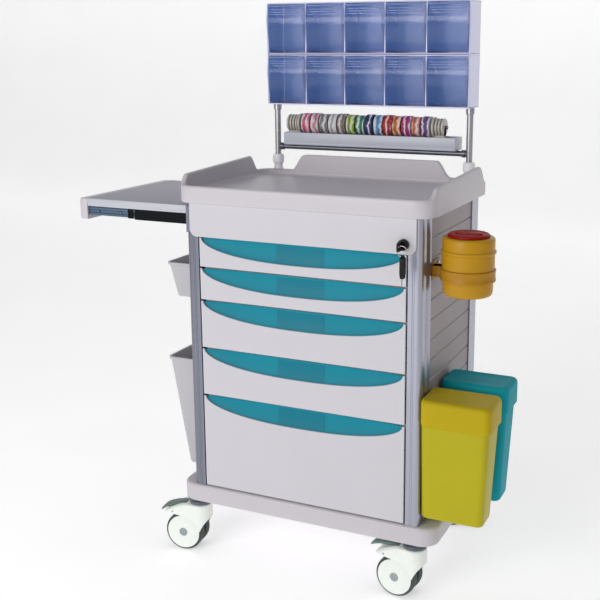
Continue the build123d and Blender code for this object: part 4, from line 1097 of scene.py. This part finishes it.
# ------------------------------------------------------------------ floor, lights and camera
def floor():
    """Studio sweep in metres: flat, then curved up behind the object."""
    size = 9.0
    profile = [(-size, 0.0), (4.2, 0.0)]
    profile += [(4.2 + b, 1.6 - a) for a, b in arc_points(0, 0, 1.6, 10, 90, 8)] + [(5.8, 6.0)]
    loft([[Vector((x, y, z - 0.0002)) for y, z in profile] for x in (-size, size)], False, False, closed=False)
    obj = take("studio_floor")
    material, tree, shader = new_material("studio_floor")
    coords = tree.nodes.new("ShaderNodeTexCoord").outputs["Object"]
    base_colour = ramp(tree, noise(tree, coords, 3.0), [(0.3, (0.90, 0.90, 0.90)), (0.7, (0.94, 0.94, 0.94))])
    link(tree, base_colour, shader.inputs["Base Color"])
    shader.inputs["Roughness"].default_value = 0.75
    shader.inputs["Emission Color"].default_value = (1.0, 1.0, 1.0, 1.0)
    shader.inputs["Emission Strength"].default_value = 0.42
    obj.data.materials.append(material)


def area(name, location, target, size, power):
    data = bpy.data.lights.new(name, "AREA")
    data.shape = "RECTANGLE"
    data.size, data.size_y = size
    data.energy = power
    obj = bpy.data.objects.new(name, data)
    scene.collection.objects.link(obj)
    obj.location = location
    direction = Vector(target) - Vector(location)
    obj.rotation_euler = direction.to_track_quat("-Z", "Y").to_euler()


floor()
area("key_soft", (-0.9, -3.4, 1.6), (0.05, 0.0, 0.6), (2.2, 1.8), 60)
area("fill_right", (3.0, -1.6, 1.6), (0.2, 0.0, 0.6), (1.6, 1.6), 1.5)
area("top_soft", (0.0, 0.2, 3.4), (0.0, 0.0, 0.6), (2.6, 2.6), 8)
world = bpy.data.worlds.new("studio_world")
scene.world = world
world.use_nodes = True
tree = world.node_tree
# the world lights the object dimly and shows the camera a white backdrop
dim, bright = tree.nodes["Background"], tree.nodes.new("ShaderNodeBackground")
for background, strength in ((dim, 0.30), (bright, 0.96)):
    background.inputs["Color"].default_value = (1, 1, 1, 1)
    background.inputs["Strength"].default_value = strength
seen = tree.nodes.new("ShaderNodeLightPath")
choose = tree.nodes.new("ShaderNodeMixShader")
link(tree, seen.outputs["Is Camera Ray"], choose.inputs["Fac"])
link(tree, dim.outputs["Background"], choose.inputs[1])
link(tree, bright.outputs["Background"], choose.inputs[2])
link(tree, choose.outputs["Shader"], tree.nodes["World Output"].inputs["Surface"])
scene.view_settings.view_transform = "Standard"

CAMERA = {"lens": 58.896, "shift": (-0.0805, -0.076333333), "place": (947.0, -2126.8, 1219.5), "yaw": 23.51,
          "pitch": 11.82}
camera_data = bpy.data.cameras.new("photo_angle")
camera_data.sensor_fit = "HORIZONTAL"
camera_data.sensor_width = 36.0
camera_data.lens = CAMERA["lens"]
camera_data.shift_x, camera_data.shift_y = CAMERA["shift"]
camera_data.clip_end = 60
camera = bpy.data.objects.new("photo_angle", camera_data)
scene.collection.objects.link(camera)
camera.location = at(*CAMERA["place"])
camera.rotation_euler = (math.radians(90 - CAMERA["pitch"]), 0.0, math.radians(CAMERA["yaw"]))
scene.camera = camera

bpy.context.view_layer.update()
